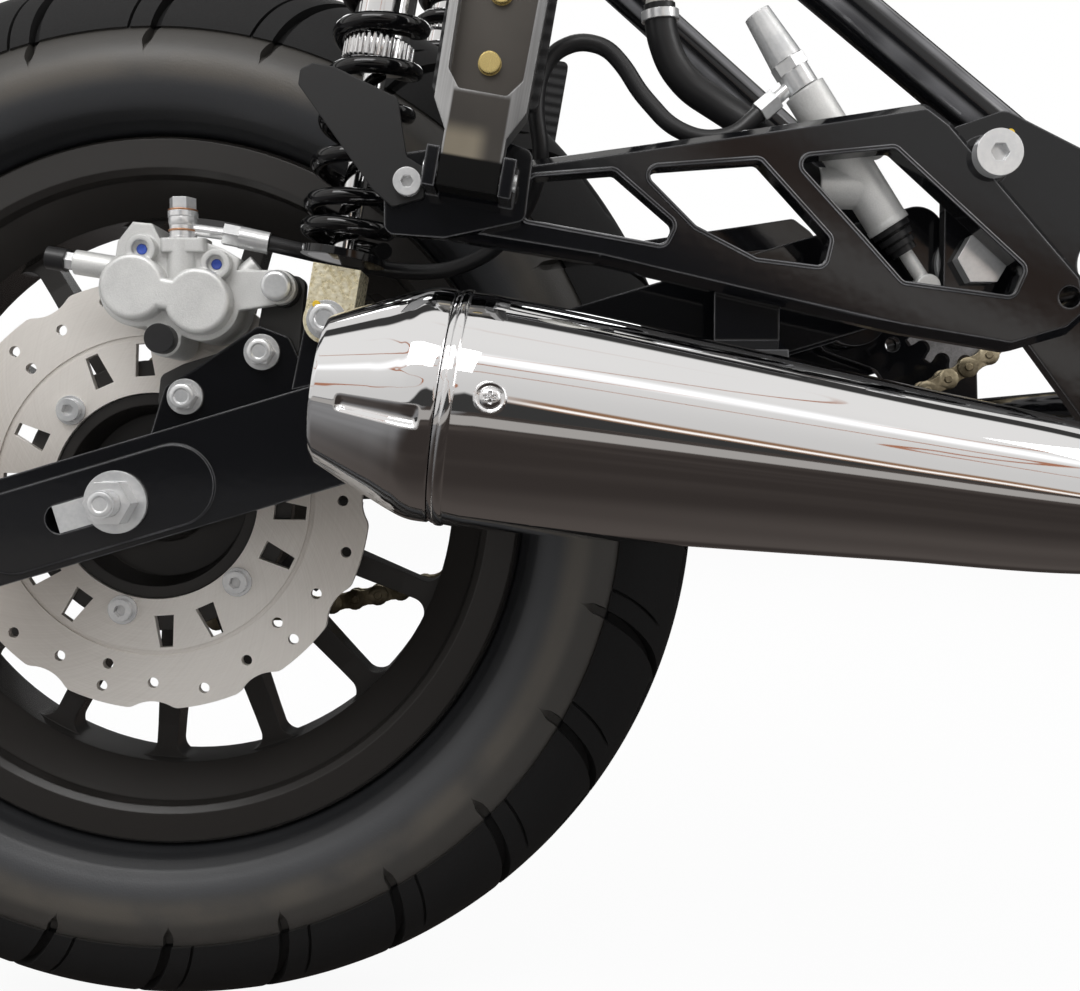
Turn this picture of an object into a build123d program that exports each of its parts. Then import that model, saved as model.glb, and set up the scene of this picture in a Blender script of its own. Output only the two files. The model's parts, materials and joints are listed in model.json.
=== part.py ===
from math import acos, asin, atan2, ceil, cos, degrees, floor, hypot, pi, radians, sin, tan
import os

from build123d import *

# Rear end of a small road motorcycle, from the wheel to the plates that carry its swing arm.
# X points forward, Y to the left, Z up. The origin is the middle of the lower front cross tube's
# bore, which is where the main frame holds this assembly. Sizes are in millimetres.

os.makedirs("parts", exist_ok=True)

# The rear axle's place from the origin. All other X and Z values below are measured from the axle.
AXLE_X = -510.0
AXLE_Z = -45.0

SIDES = (("right", -1), ("left", 1))
RUNNING_GAP = 0.05
SEAT_GAP = 0.3


def at(x, y, z):
    """A point given from the axle, as a point from the origin."""
    return Vector(AXLE_X + x, y, AXLE_Z + z)


def side(y):
    """The plane at that y, seen from the right: its x runs forward, its y up, its normal is -Y."""
    return Plane(origin=at(0, y, 0), x_dir=(1, 0, 0), z_dir=(0, -1, 0))


def along(start, end, x_dir=(0, 1, 0)):
    """The plane through start whose normal points at end."""
    return Plane(origin=start, x_dir=x_dir, z_dir=(end - start).normalized())


WHEEL_SECTION = Plane(origin=at(0, 0, 0), x_dir=(0, 1, 0), z_dir=(1, 0, 0))
WHEEL_AXIS = Axis(at(0, 0, 0), (0, 1, 0))

# Cast wheel
RIM_BARREL_R = 163.0
RIM_WELL_R = RIM_BARREL_R + 9.0
RIM_FLANGE_R = RIM_BARREL_R + 19.5
RIM_BEAD_SEAT_R = RIM_BARREL_R + 27.8
RIM_LIP_R = RIM_BEAD_SEAT_R + 13.2
RIM_INSIDE_HALF = 38.1
RIM_HALF = 46.0
RIM_BARREL_HALF = 18.0
SPOKES = 15
SPOKE_ANGLE = 265.2
SPOKE_OUTER_W = 12.0
SPOKE_INNER_W = 14.5
SPOKE_OUTER_HALF = 9.0
SPOKE_INNER_HALF = 15.0
WINDOW_R = 60.0
HUB_R = 57.4

# Tyre, 130/90-15
TYRE_R = 307.5
TYRE_HALF = 65.0
TREAD_EDGE_HALF = 55.0
TREAD_EDGE_R = 262.0
TYRE_WALL = 10.0
BEAD_HALF = RIM_HALF
BEAD_TOP_R = RIM_LIP_R + 4.0
TYRE_WIDEST_R = (BEAD_TOP_R + TREAD_EDGE_R) / 2 + 3.0

# Brake disc
DISC_FACE = 66.0
DISC_T = 4.5
DISC_R = 120.0
DISC_DIP_R = 115.5
DISC_HOLE_R = 57.7
DISC_GROOVE_R = 88.2
DISC_GROOVE_W = 2.5
DISC_LOBES = 12
DISC_BOLTS = 6
DISC_BOLT_R = 66.2
DISC_BOLT_ANGLE = 133.6
DISC_FLANGE_R = 76.0

# Axle
AXLE_R = 7.0
AXLE_END = 150.0
NUT_AF = 21.0
NUT_T = 12.0
WASHER_R = 16.0
WASHER_T = 2.5

# Chain and sprockets
PITCH = 15.875
ROLLER_R = 5.08
CHAIN_Y = 80.0
CHAIN_INNER_W = 6.6
CHAIN_PLATE_T = 2.0
CHAIN_PLATE_HALF = 7.2
CHAIN_WAIST_HALF = 5.4
REAR_TEETH = 36
FRONT_TEETH = 14
SPROCKET_T = 5.8
TOOTH_TIP = 4.2
FRONT_X = 497.1
FRONT_Z = 118.4
SPROCKET_BOLT_R = 50.0

# Swing arm
ARM_ANGLE = 16.5
ARM_RISE = 2.3
ARM_IN = 96.0
ARM_OUT = 124.0
ARM_H = 52.6
ARM_REAR = -98.0
ARM_SHORT_OF_PIVOT = 7.6
ARM_CORNER = 6.0
PIVOT_X = 432.0
PIVOT_Z = 120.0
PIVOT_EYE_R = 24.0
PIVOT_TUBE_R = 14.0
PIVOT_R = 8.0
SLOT_L = 53.0
SLOT_W = 15.0
AXLE_PAD_T = 2.5
AXLE_PAD_H = 46.0

# Frame
PLATE_IN = 128.0
PLATE_T = 8.0
SHAFT_HOLE_R = 16.0
TUBE_R = 12.7
BORE_R = 5.5
FRONT_TUBE_R = 14.0
RAIL_Y = 95.0
RAIL_Z = 418.0
RAIL_REAR = 130.0
RAIL_FRONT = 480.0

# Hanger castings
HANGER_IN = 146.0
HANGER_OUT = 160.0
HANGER_BEVEL = 4.0
HANGER_BEVEL_T = 6.0

# Shock absorbers
SHOCK_Y = 120.0
SHOCK_LOW = (108.9, 91.0)
SHOCK_TOP = (168.0, RAIL_Z - 2.0)
SPRING_R = 24.0
WIRE_R = 4.25
SHOCK_BOLT_R = 5.0

# Silencer
SILENCER_Y = -190.0
SILENCER_FALL = 8.3


def sprocket_pitch_r(teeth):
    return PITCH / (2 * sin(pi / teeth))


# Tyre
with BuildPart() as tyre:
    with BuildSketch(WHEEL_SECTION):
        with BuildLine():
            TangentArc((0, TYRE_R), (TREAD_EDGE_HALF, TREAD_EDGE_R), tangent=(1, 0))
            ThreePointArc(
                (TREAD_EDGE_HALF, TREAD_EDGE_R), (TYRE_HALF, TYRE_WIDEST_R), (BEAD_HALF, BEAD_TOP_R)
            )
            Polyline(
                (BEAD_HALF, BEAD_TOP_R),
                (RIM_INSIDE_HALF - SEAT_GAP, RIM_LIP_R + 1),
                (RIM_INSIDE_HALF - SEAT_GAP, RIM_BEAD_SEAT_R + SEAT_GAP),
                (RIM_INSIDE_HALF - TYRE_WALL, RIM_BEAD_SEAT_R + SEAT_GAP),
                (BEAD_HALF - TYRE_WALL, BEAD_TOP_R),
            )
            ThreePointArc(
                (BEAD_HALF - TYRE_WALL, BEAD_TOP_R),
                (TYRE_HALF - TYRE_WALL, TYRE_WIDEST_R),
                (TREAD_EDGE_HALF - TYRE_WALL, TREAD_EDGE_R - TYRE_WALL / 2),
            )
            TangentArc(
                (0, TYRE_R - TYRE_WALL),
                (TREAD_EDGE_HALF - TYRE_WALL, TREAD_EDGE_R - TYRE_WALL / 2),
                tangent=(1, 0),
            )
            Line((0, TYRE_R - TYRE_WALL), (0, TYRE_R))
        make_face()
        mirror(about=Plane.YZ)
    revolve(axis=WHEEL_AXIS)
tyre.part.label = "tyre"
export_step(tyre.part, "parts/tyre.step")

# One window between two spokes, drawn about the wheel's centre line
half_step = 180 / SPOKES
inner_turn = radians(half_step - degrees(asin(SPOKE_INNER_W / 2 / WINDOW_R)))
outer_turn = radians(half_step - degrees(asin(SPOKE_OUTER_W / 2 / RIM_BARREL_R)))
with BuildSketch() as window:
    with BuildLine():
        inner_low = (WINDOW_R * cos(inner_turn), -WINDOW_R * sin(inner_turn))
        inner_high = (WINDOW_R * cos(inner_turn), WINDOW_R * sin(inner_turn))
        outer_low = (RIM_BARREL_R * cos(outer_turn), -RIM_BARREL_R * sin(outer_turn))
        outer_high = (RIM_BARREL_R * cos(outer_turn), RIM_BARREL_R * sin(outer_turn))
        Line(inner_low, outer_low)
        ThreePointArc(outer_low, (RIM_BARREL_R, 0), outer_high)
        Line(outer_high, inner_high)
        Line(inner_high, inner_low)
    make_face()
    fillet(window.vertices().group_by(Axis.X)[-1], radius=9)
    fillet(window.vertices().group_by(Axis.X)[0], radius=4)

# Cast wheel: spokes, hub and rim in one piece
with BuildPart() as cast_wheel:
    with BuildSketch(side(0)):
        Circle(RIM_BARREL_R + 4)
        with PolarLocations(0, SPOKES, start_angle=SPOKE_ANGLE + half_step):
            add(window.sketch, mode=Mode.SUBTRACT)
    extrude(amount=SPOKE_INNER_HALF, both=True)
    with BuildSketch(WHEEL_SECTION):
        with BuildLine():
            Polyline(
                (0, 0),
                (SPOKE_INNER_HALF, 0),
                (SPOKE_INNER_HALF, WINDOW_R),
                (SPOKE_OUTER_HALF, RIM_BARREL_R - 20),
                (SPOKE_OUTER_HALF, RIM_BARREL_R + 4),
                (0, RIM_BARREL_R + 4),
                close=True,
            )
        make_face()
        mirror(about=Plane.YZ)
    revolve(axis=WHEEL_AXIS, mode=Mode.INTERSECT)
    with BuildSketch(WHEEL_SECTION):
        with BuildLine():
            Polyline(
                (0, RIM_BARREL_R),
                (RIM_BARREL_HALF, RIM_BARREL_R),
                (RIM_HALF - 10, RIM_FLANGE_R - 1.5),
                (RIM_HALF - 3, RIM_FLANGE_R),
                (RIM_HALF, RIM_FLANGE_R + 3.5),
                (RIM_HALF, RIM_LIP_R - 2),
                (RIM_HALF - 2.5, RIM_LIP_R),
                (RIM_INSIDE_HALF, RIM_LIP_R),
                (RIM_INSIDE_HALF, RIM_BEAD_SEAT_R),
                (26, RIM_BEAD_SEAT_R),
                (16, RIM_WELL_R),
                (0, RIM_WELL_R),
                close=True,
            )
        make_face()
        mirror(about=Plane.YZ)
    revolve(axis=WHEEL_AXIS)
    with BuildSketch(WHEEL_SECTION):
        with BuildLine():
            Polyline(
                (-64, AXLE_R + RUNNING_GAP),
                (-64, 24),
                (-44, 27),
                (-44, 47),
                (-64, 51),
                (-64, HUB_R),
                (-(DISC_FACE - DISC_T), HUB_R),
                (-(DISC_FACE - DISC_T), DISC_FLANGE_R),
                (-53, DISC_FLANGE_R),
                (-44, 60),
                (-SPOKE_INNER_HALF, HUB_R + 4),
                (SPOKE_INNER_HALF, HUB_R + 4),
                (30, 68),
                (44, 68),
                (44, AXLE_R + RUNNING_GAP),
                close=True,
            )
        make_face()
    revolve(axis=WHEEL_AXIS)
    with BuildSketch(side(0)):
        Circle(AXLE_R + RUNNING_GAP)
    extrude(amount=100, both=True, mode=Mode.SUBTRACT)
cast_wheel.part.label = "cast_wheel"
export_step(cast_wheel.part, "parts/cast_wheel.step")

# Brake disc. Hole rows: radius, turn from a bolt's angle
DISC_HOLES = ((98.0, 0), (111.0, 0), (105.0, 15), (111.0, 30), (105.0, 45))
with BuildPart() as brake_disc:
    with BuildSketch(side(-(DISC_FACE - DISC_T))) as disc_outline:
        Circle(DISC_R)
        dip_r = 22.0
        with PolarLocations(DISC_DIP_R + dip_r, DISC_LOBES, start_angle=DISC_BOLT_ANGLE + 15):
            Circle(dip_r, mode=Mode.SUBTRACT)
        fillet(disc_outline.vertices(), radius=8)
        Circle(DISC_HOLE_R, mode=Mode.SUBTRACT)
        for hole_r, turn in DISC_HOLES:
            with PolarLocations(hole_r, DISC_BOLTS, start_angle=DISC_BOLT_ANGLE + turn):
                Circle(3.0, mode=Mode.SUBTRACT)
        with PolarLocations(DISC_BOLT_R, DISC_BOLTS, start_angle=DISC_BOLT_ANGLE):
            Circle(4.3, mode=Mode.SUBTRACT)
        for turn in (20, 40):
            with PolarLocations(76, DISC_BOLTS, start_angle=DISC_BOLT_ANGLE + turn):
                Trapezoid(11, 18, 84, rotation=-90, mode=Mode.SUBTRACT)
    extrude(amount=DISC_T)
    with BuildSketch(side(-DISC_FACE)):
        Circle(DISC_GROOVE_R + DISC_GROOVE_W / 2)
        Circle(DISC_GROOVE_R - DISC_GROOVE_W / 2, mode=Mode.SUBTRACT)
    extrude(amount=-1, mode=Mode.SUBTRACT)
brake_disc.part.label = "brake_disc"
export_step(brake_disc.part, "parts/brake_disc.step")

# Disc bolts: flanged heads with a hexagon socket
with BuildPart() as disc_bolts:
    with BuildSketch(side(-DISC_FACE)):
        with PolarLocations(DISC_BOLT_R, DISC_BOLTS, start_angle=DISC_BOLT_ANGLE):
            Circle(8.2)
    extrude(amount=1.6)
    with BuildSketch(side(-DISC_FACE - 1.6)):
        with PolarLocations(DISC_BOLT_R, DISC_BOLTS, start_angle=DISC_BOLT_ANGLE):
            Circle(6.3)
            RegularPolygon(3.4, 6, mode=Mode.SUBTRACT)
    extrude(amount=4.4)
disc_bolts.part.label = "disc_bolts"
export_step(disc_bolts.part, "parts/disc_bolts.step")

# Sprocket carrier
SPROCKET_IN = CHAIN_Y - SPROCKET_T / 2
with BuildPart() as sprocket_carrier:
    with BuildSketch(WHEEL_SECTION):
        with BuildLine():
            Polyline(
                (44, AXLE_R + RUNNING_GAP),
                (44, 66),
                (62, 66),
                (68, 61),
                (SPROCKET_IN, 61),
                (SPROCKET_IN, 37.8),
                (84, 37.8),
                (84, 22),
                (90, 20),
                (90, AXLE_R + RUNNING_GAP),
                close=True,
            )
        make_face()
    revolve(axis=WHEEL_AXIS)
sprocket_carrier.part.label = "sprocket_carrier"
export_step(sprocket_carrier.part, "parts/sprocket_carrier.step")

# Chain line: both sprockets turn about Y, and the upper run touches both pitch circles
rear_r = sprocket_pitch_r(REAR_TEETH)
front_r = sprocket_pitch_r(FRONT_TEETH)
centre_distance = hypot(FRONT_X, FRONT_Z)
centre_turn = atan2(FRONT_Z, FRONT_X)
touch_turn = acos((rear_r - front_r) / centre_distance)
first_turn = centre_turn + touch_turn


def sprocket(teeth, lighten):
    """The sketch of a sprocket whose first gullet is at the upper touching point."""
    pitch_r = sprocket_pitch_r(teeth)
    gullet_r = ROLLER_R + SEAT_GAP
    with BuildSketch() as blank:
        Circle(pitch_r + TOOTH_TIP)
        with PolarLocations(pitch_r, teeth, start_angle=degrees(first_turn)):
            Circle(gullet_r, mode=Mode.SUBTRACT)
            Polygon(
                (0, -gullet_r),
                (0, gullet_r),
                (TOOTH_TIP + 1, gullet_r + 1.6),
                (TOOTH_TIP + 1, -gullet_r - 1.6),
                align=None,
                mode=Mode.SUBTRACT,
            )
        for count, ring_r, hole_r in lighten:
            with PolarLocations(ring_r, count, start_angle=0):
                Circle(hole_r, mode=Mode.SUBTRACT)
    return blank.sketch


with BuildPart() as rear_sprocket:
    with BuildSketch(side(SPROCKET_IN)):
        add(sprocket(REAR_TEETH, ((6, SPROCKET_BOLT_R, 4.3), (12, 73.0, 7.0))))
        Circle(38, mode=Mode.SUBTRACT)
    extrude(amount=-SPROCKET_T)
rear_sprocket.part.label = "rear_sprocket"
export_step(rear_sprocket.part, "parts/rear_sprocket.step")

with BuildPart() as sprocket_nuts:
    with BuildSketch(side(SPROCKET_IN + SPROCKET_T)):
        with PolarLocations(SPROCKET_BOLT_R, 6):
            RegularPolygon(7.4, 6)
    extrude(amount=-6)
sprocket_nuts.part.label = "sprocket_nuts"
export_step(sprocket_nuts.part, "parts/sprocket_nuts.step")

with BuildPart() as front_sprocket:
    with BuildSketch(Plane(at(FRONT_X, SPROCKET_IN, FRONT_Z), x_dir=(1, 0, 0), z_dir=(0, -1, 0))):
        add(sprocket(FRONT_TEETH, ()))
    extrude(amount=-SPROCKET_T)
    with BuildSketch(Plane(at(FRONT_X, CHAIN_Y, FRONT_Z), x_dir=(1, 0, 0), z_dir=(0, -1, 0))):
        Circle(17)
    extrude(amount=9, both=True)
    with BuildSketch(Plane(at(FRONT_X, CHAIN_Y, FRONT_Z), x_dir=(1, 0, 0), z_dir=(0, -1, 0))):
        Circle(10)
    extrude(amount=20, both=True, mode=Mode.SUBTRACT)
front_sprocket.part.label = "front_sprocket"
export_step(front_sprocket.part, "parts/front_sprocket.step")


def run_turn(span, links):
    """The turn between two links of a slack run of that many links over that span."""
    low, high = 0.0, 0.3
    for _ in range(60):
        middle = (low + high) / 2
        reach = PITCH * sin(links * middle / 2) / sin(middle / 2)
        if reach > span:
            low = middle
        else:
            high = middle
    return low


def slack_run(start, end, bend):
    """Pins between start and end, sagging to the side that the sign of bend gives."""
    span = hypot(end[0] - start[0], end[1] - start[1])
    links = ceil(span / PITCH - 0.001)
    heading = atan2(end[1] - start[1], end[0] - start[0])
    turn = run_turn(span, links)
    pins = []
    x, z = start
    for link in range(links - 1):
        direction = heading + bend * (link - (links - 1) / 2) * turn
        x += PITCH * cos(direction)
        z += PITCH * sin(direction)
        pins.append((x, z))
    return pins


def chain_pins():
    """Every pin of the chain, from the upper touching point back round the rear sprocket."""
    rear_step = 2 * pi / REAR_TEETH
    front_step = 2 * pi / FRONT_TEETH
    rear_wrap = floor((2 * pi - 2 * touch_turn) / rear_step)
    front_wrap = floor(2 * touch_turn / front_step)
    rear = []
    for tooth in range(rear_wrap + 1):
        turn = first_turn + tooth * rear_step
        rear.append((rear_r * cos(turn), rear_r * sin(turn)))
    front = []
    for tooth in range(front_wrap, -1, -1):
        turn = first_turn - tooth * front_step
        front.append((FRONT_X + front_r * cos(turn), FRONT_Z + front_r * sin(turn)))
    return rear + slack_run(rear[-1], front[0], 1) + front + slack_run(front[-1], rear[0], -1)


PINS = chain_pins()


def chain_edge(half_pin, half_waist):
    """The chain's edge on one side: a point at each pin and one at each link's waist."""
    points = []
    for number, (x, z) in enumerate(PINS):
        before = PINS[number - 1]
        after = PINS[(number + 1) % len(PINS)]
        heading = atan2(after[1] - before[1], after[0] - before[0])
        points.append((x + half_pin * sin(heading), z - half_pin * cos(heading)))
        heading = atan2(after[1] - z, after[0] - x)
        middle = ((x + after[0]) / 2, (z + after[1]) / 2)
        points.append((middle[0] + half_waist * sin(heading), middle[1] - half_waist * cos(heading)))
    return points


# Chain: two rows of link plates joined by the rollers
with BuildPart() as chain:
    for plate_y in (CHAIN_Y - CHAIN_INNER_W / 2 - CHAIN_PLATE_T, CHAIN_Y + CHAIN_INNER_W / 2):
        with BuildSketch(side(plate_y)):
            with BuildLine():
                Polyline(*chain_edge(CHAIN_PLATE_HALF, CHAIN_WAIST_HALF), close=True)
            make_face()
            with BuildLine():
                Polyline(*chain_edge(-CHAIN_PLATE_HALF, -CHAIN_WAIST_HALF), close=True)
            make_face(mode=Mode.SUBTRACT)
        extrude(amount=-CHAIN_PLATE_T)
    with BuildSketch(side(CHAIN_Y - CHAIN_INNER_W / 2)):
        with Locations(*PINS):
            RegularPolygon(ROLLER_R, 6)
    extrude(amount=-CHAIN_INNER_W)
chain.part.label = "chain"
export_step(chain.part, "parts/chain.step")

# Swing arm
ARM_COS = cos(radians(ARM_ANGLE))
ARM_SIN = sin(radians(ARM_ANGLE))


def arm_side(y):
    """The plane at that y whose x runs up the arm's middle line from the axle."""
    return Plane(origin=at(0, y, ARM_RISE), x_dir=(ARM_COS, 0, ARM_SIN), z_dir=(0, -1, 0))


def in_arm(x, z):
    """A point given from the axle, in the arm's own directions."""
    return (x * ARM_COS + (z - ARM_RISE) * ARM_SIN, -x * ARM_SIN + (z - ARM_RISE) * ARM_COS)


AXLE_DROP = in_arm(0, 0)[1]
ARM_FRONT = in_arm(PIVOT_X, PIVOT_Z)[0] - ARM_SHORT_OF_PIVOT
for name, s in SIDES:
    with BuildPart() as arm:
        with BuildSketch(arm_side(s * ARM_IN)):
            with Locations(((ARM_REAR + ARM_FRONT) / 2, 0)):
                RectangleRounded(ARM_FRONT - ARM_REAR, ARM_H, 14)
            with Locations(in_arm(PIVOT_X, PIVOT_Z)):
                Circle(PIVOT_EYE_R)
        extrude(amount=-s * (ARM_OUT - ARM_IN))
        with BuildSketch(arm_side(s * ARM_OUT)):
            with Locations((-14, AXLE_DROP)):
                SlotOverall(128, AXLE_PAD_H - 2 * abs(AXLE_DROP))
        extrude(amount=-s * AXLE_PAD_T)
        with BuildSketch(Plane(at(*SHOCK_LOW[:1], s * ARM_OUT, SHOCK_LOW[1]), (1, 0, 0), (0, -1, 0))):
            Circle(13)
            Polygon((-20, -34), (24, -24), (12, 4), (-12, 4), align=None)
        extrude(amount=s * 8)
        with BuildSketch(arm_side(0)):
            with Locations((-12, AXLE_DROP)):
                SlotOverall(SLOT_L, SLOT_W)
            with Locations(in_arm(PIVOT_X, PIVOT_Z)):
                Circle(PIVOT_R + RUNNING_GAP)
            with Locations(in_arm(*SHOCK_LOW)):
                Circle(SHOCK_BOLT_R + RUNNING_GAP)
        extrude(amount=-s * 140, mode=Mode.SUBTRACT)
    arm.part.label = f"swing_arm_{name}"
    export_step(arm.part, f"parts/swing_arm_{name}.step")

with BuildPart() as arm_cross:
    with BuildSketch(side(0)):
        with Locations((PIVOT_X, PIVOT_Z)):
            Circle(PIVOT_TUBE_R)
            Circle(PIVOT_R + RUNNING_GAP, mode=Mode.SUBTRACT)
        with Locations((372, 103)):
            Circle(14)
    extrude(amount=ARM_IN, both=True)
arm_cross.part.label = "swing_arm_cross_tubes"
export_step(arm_cross.part, "parts/swing_arm_cross_tubes.step")

PLATE_OUT = PLATE_IN + PLATE_T
with BuildPart() as pivot_shaft:
    with BuildSketch(side(0)):
        with Locations((PIVOT_X, PIVOT_Z)):
            Circle(PIVOT_R)
    extrude(amount=PLATE_OUT + 2, both=True)
    for s in (-1, 1):
        with BuildSketch(side(s * PLATE_OUT)):
            with Locations((PIVOT_X, PIVOT_Z)):
                RegularPolygon(13, 6)
        extrude(amount=-s * 8)
        with BuildSketch(side(s * ARM_OUT)):
            with Locations((PIVOT_X, PIVOT_Z)):
                Circle(18)
        extrude(amount=-s * (PLATE_IN - ARM_OUT))
pivot_shaft.part.label = "swing_arm_pivot"
export_step(pivot_shaft.part, "parts/swing_arm_pivot.step")

# Axle, spacers and nut
PAD_OUT = ARM_OUT + AXLE_PAD_T
with BuildPart() as axle:
    with BuildSketch(side(-AXLE_END)):
        Circle(AXLE_R)
    extrude(amount=-(AXLE_END + PAD_OUT + WASHER_T))
    with BuildSketch(side(PAD_OUT + WASHER_T)):
        RegularPolygon(NUT_AF / 2 / cos(pi / 6), 6)
    extrude(amount=-10)
    with BuildSketch(side(PAD_OUT)):
        Circle(WASHER_R)
    extrude(amount=-WASHER_T)
axle.part.label = "rear_axle"
export_step(axle.part, "parts/rear_axle.step")

with BuildPart() as axle_nut:
    with BuildSketch(side(-PAD_OUT)):
        Circle(WASHER_R)
    extrude(amount=WASHER_T)
    with BuildSketch(side(-PAD_OUT - WASHER_T)):
        RegularPolygon(NUT_AF / 2 / cos(pi / 6), 6)
    extrude(amount=NUT_T)
    with BuildSketch(side(0)):
        Circle(AXLE_R + RUNNING_GAP)
    extrude(amount=AXLE_END, mode=Mode.SUBTRACT)
axle_nut.part.label = "axle_nut"
export_step(axle_nut.part, "parts/axle_nut.step")

with BuildPart() as spacers:
    for near, far in ((-64.5, -ARM_IN), (90.5, ARM_IN)):
        with BuildSketch(side(near)):
            Circle(12)
            Circle(AXLE_R + RUNNING_GAP, mode=Mode.SUBTRACT)
        extrude(amount=near - far)
spacers.part.label = "axle_spacers"
export_step(spacers.part, "parts/axle_spacers.step")

with BuildPart() as adjusters:
    for s in (-1, 1):
        with BuildSketch(arm_side(s * ARM_IN)):
            with Locations((-24, AXLE_DROP)):
                Rectangle(18, SLOT_W - 0.6)
        extrude(amount=-s * (PAD_OUT - ARM_IN))
        with BuildSketch(Plane(at(ARM_REAR * ARM_COS, s * 110, ARM_RISE + ARM_REAR * ARM_SIN),
                               x_dir=(0, 1, 0), z_dir=(-ARM_COS, 0, -ARM_SIN))):
            Circle(4)
        extrude(amount=16)
adjusters.part.label = "chain_adjusters"
export_step(adjusters.part, "parts/chain_adjusters.step")

# Frame plates and tubes
PLATE_OUTLINE = (
    (415, 96), (415, 184), (444, 194), (508, 162), (526, 130), (530, 34), (508, 24), (488, 38), (455, 82),
)
HANGER_BOLTS = ((430.3, 166.2), (467.3, 99.5))
STAY_LOW = (500.0, 144.2)
STAY_TOP = (196.0, RAIL_Z - 14.0)
STAY_IN_PLATE = 2.7
STAY_LOW_Y = PLATE_IN - TUBE_R + STAY_IN_PLATE
HANGER_BOLT_R = 5.0
HANGER_HOLE_R = 5.2
with BuildPart() as plates:
    for s in (-1, 1):
        with BuildSketch(side(s * PLATE_IN)) as plate_sketch:
            Polygon(*PLATE_OUTLINE, align=None)
            fillet(plate_sketch.vertices(), radius=9)
            with Locations((PIVOT_X, PIVOT_Z)):
                Circle(PIVOT_R + RUNNING_GAP, mode=Mode.SUBTRACT)
            with Locations((-AXLE_X, -AXLE_Z)):
                Circle(BORE_R, mode=Mode.SUBTRACT)
            with Locations(*HANGER_BOLTS):
                Circle(HANGER_HOLE_R, mode=Mode.SUBTRACT)
            with Locations((FRONT_X, FRONT_Z)):
                Circle(SHAFT_HOLE_R, mode=Mode.SUBTRACT)
        extrude(amount=-s * PLATE_T)
plates.part.label = "pivot_plates"
export_step(plates.part, "parts/pivot_plates.step")

with BuildPart() as rails:
    for s in (-1, 1):
        with BuildSketch(Plane(at(RAIL_REAR, s * RAIL_Y, RAIL_Z), x_dir=(0, 1, 0), z_dir=(1, 0, 0))):
            Circle(TUBE_R)
        extrude(amount=RAIL_FRONT - RAIL_REAR)
        with BuildSketch(Plane(at(RAIL_FRONT, s * RAIL_Y, RAIL_Z), x_dir=(1, 0, 0), z_dir=(0, -1, 0))):
            SlotCenterPoint((0, 0), (20, 0), 2 * TUBE_R - 4)
            with Locations((22, 0)):
                Circle(BORE_R, mode=Mode.SUBTRACT)
        extrude(amount=4, both=True)
        with BuildSketch(Plane(at(SHOCK_TOP[0], s * RAIL_Y, SHOCK_TOP[1]), (1, 0, 0), (0, -1, 0))):
            Circle(10)
        extrude(amount=-s * (SHOCK_Y - 12 - RAIL_Y))
rails.part.label = "seat_rails"
export_step(rails.part, "parts/seat_rails.step")

with BuildPart() as stays:
    for s in (-1, 1):
        stay_low = at(STAY_LOW[0], s * STAY_LOW_Y, STAY_LOW[1])
        stay_top = at(STAY_TOP[0], s * (RAIL_Y + 2), STAY_TOP[1])
        with BuildSketch(along(stay_low, stay_top)):
            Circle(TUBE_R)
        extrude(amount=(stay_top - stay_low).length)
    add(plates.part, mode=Mode.SUBTRACT)
    add(rails.part, mode=Mode.SUBTRACT)
stays.part.label = "stay_tubes"
export_step(stays.part, "parts/stay_tubes.step")

with BuildPart() as front_tube:
    with BuildSketch(side(0)):
        with Locations((-AXLE_X, -AXLE_Z)):
            Circle(FRONT_TUBE_R)
            Circle(BORE_R, mode=Mode.SUBTRACT)
    extrude(amount=PLATE_IN, both=True)
front_tube.part.label = "front_cross_tube"
export_step(front_tube.part, "parts/front_cross_tube.step")

with BuildPart() as rail_cross:
    with BuildSketch(side(0)):
        with Locations((RAIL_REAR + 14, RAIL_Z), (330, RAIL_Z)):
            Circle(11)
    extrude(amount=RAIL_Y - TUBE_R + 3, both=True)
    for s in (-1, 1):
        with BuildSketch(Plane(at(RAIL_REAR, s * RAIL_Y, RAIL_Z), x_dir=(0, 1, 0), z_dir=(1, 0, 0))):
            Circle(TUBE_R)
        extrude(amount=RAIL_FRONT - RAIL_REAR, mode=Mode.SUBTRACT)
rail_cross.part.label = "rail_cross_tubes"
export_step(rail_cross.part, "parts/rail_cross_tubes.step")

# Hanger castings
HANGER_OUTLINE = (
    (164.0, 129.0), (170.0, 139.0), (187.5, 162.0), (262.0, 172.0), (366.0, 187.0), (399.0, 192.0),
    (411.0, 183.0), (438.0, 152.0), (475.0, 110.0), (479.0, 92.0), (468.0, 82.0), (440.0, 74.0),
    (387.0, 83.0), (320.0, 98.0), (243.0, 116.0),
)
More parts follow.
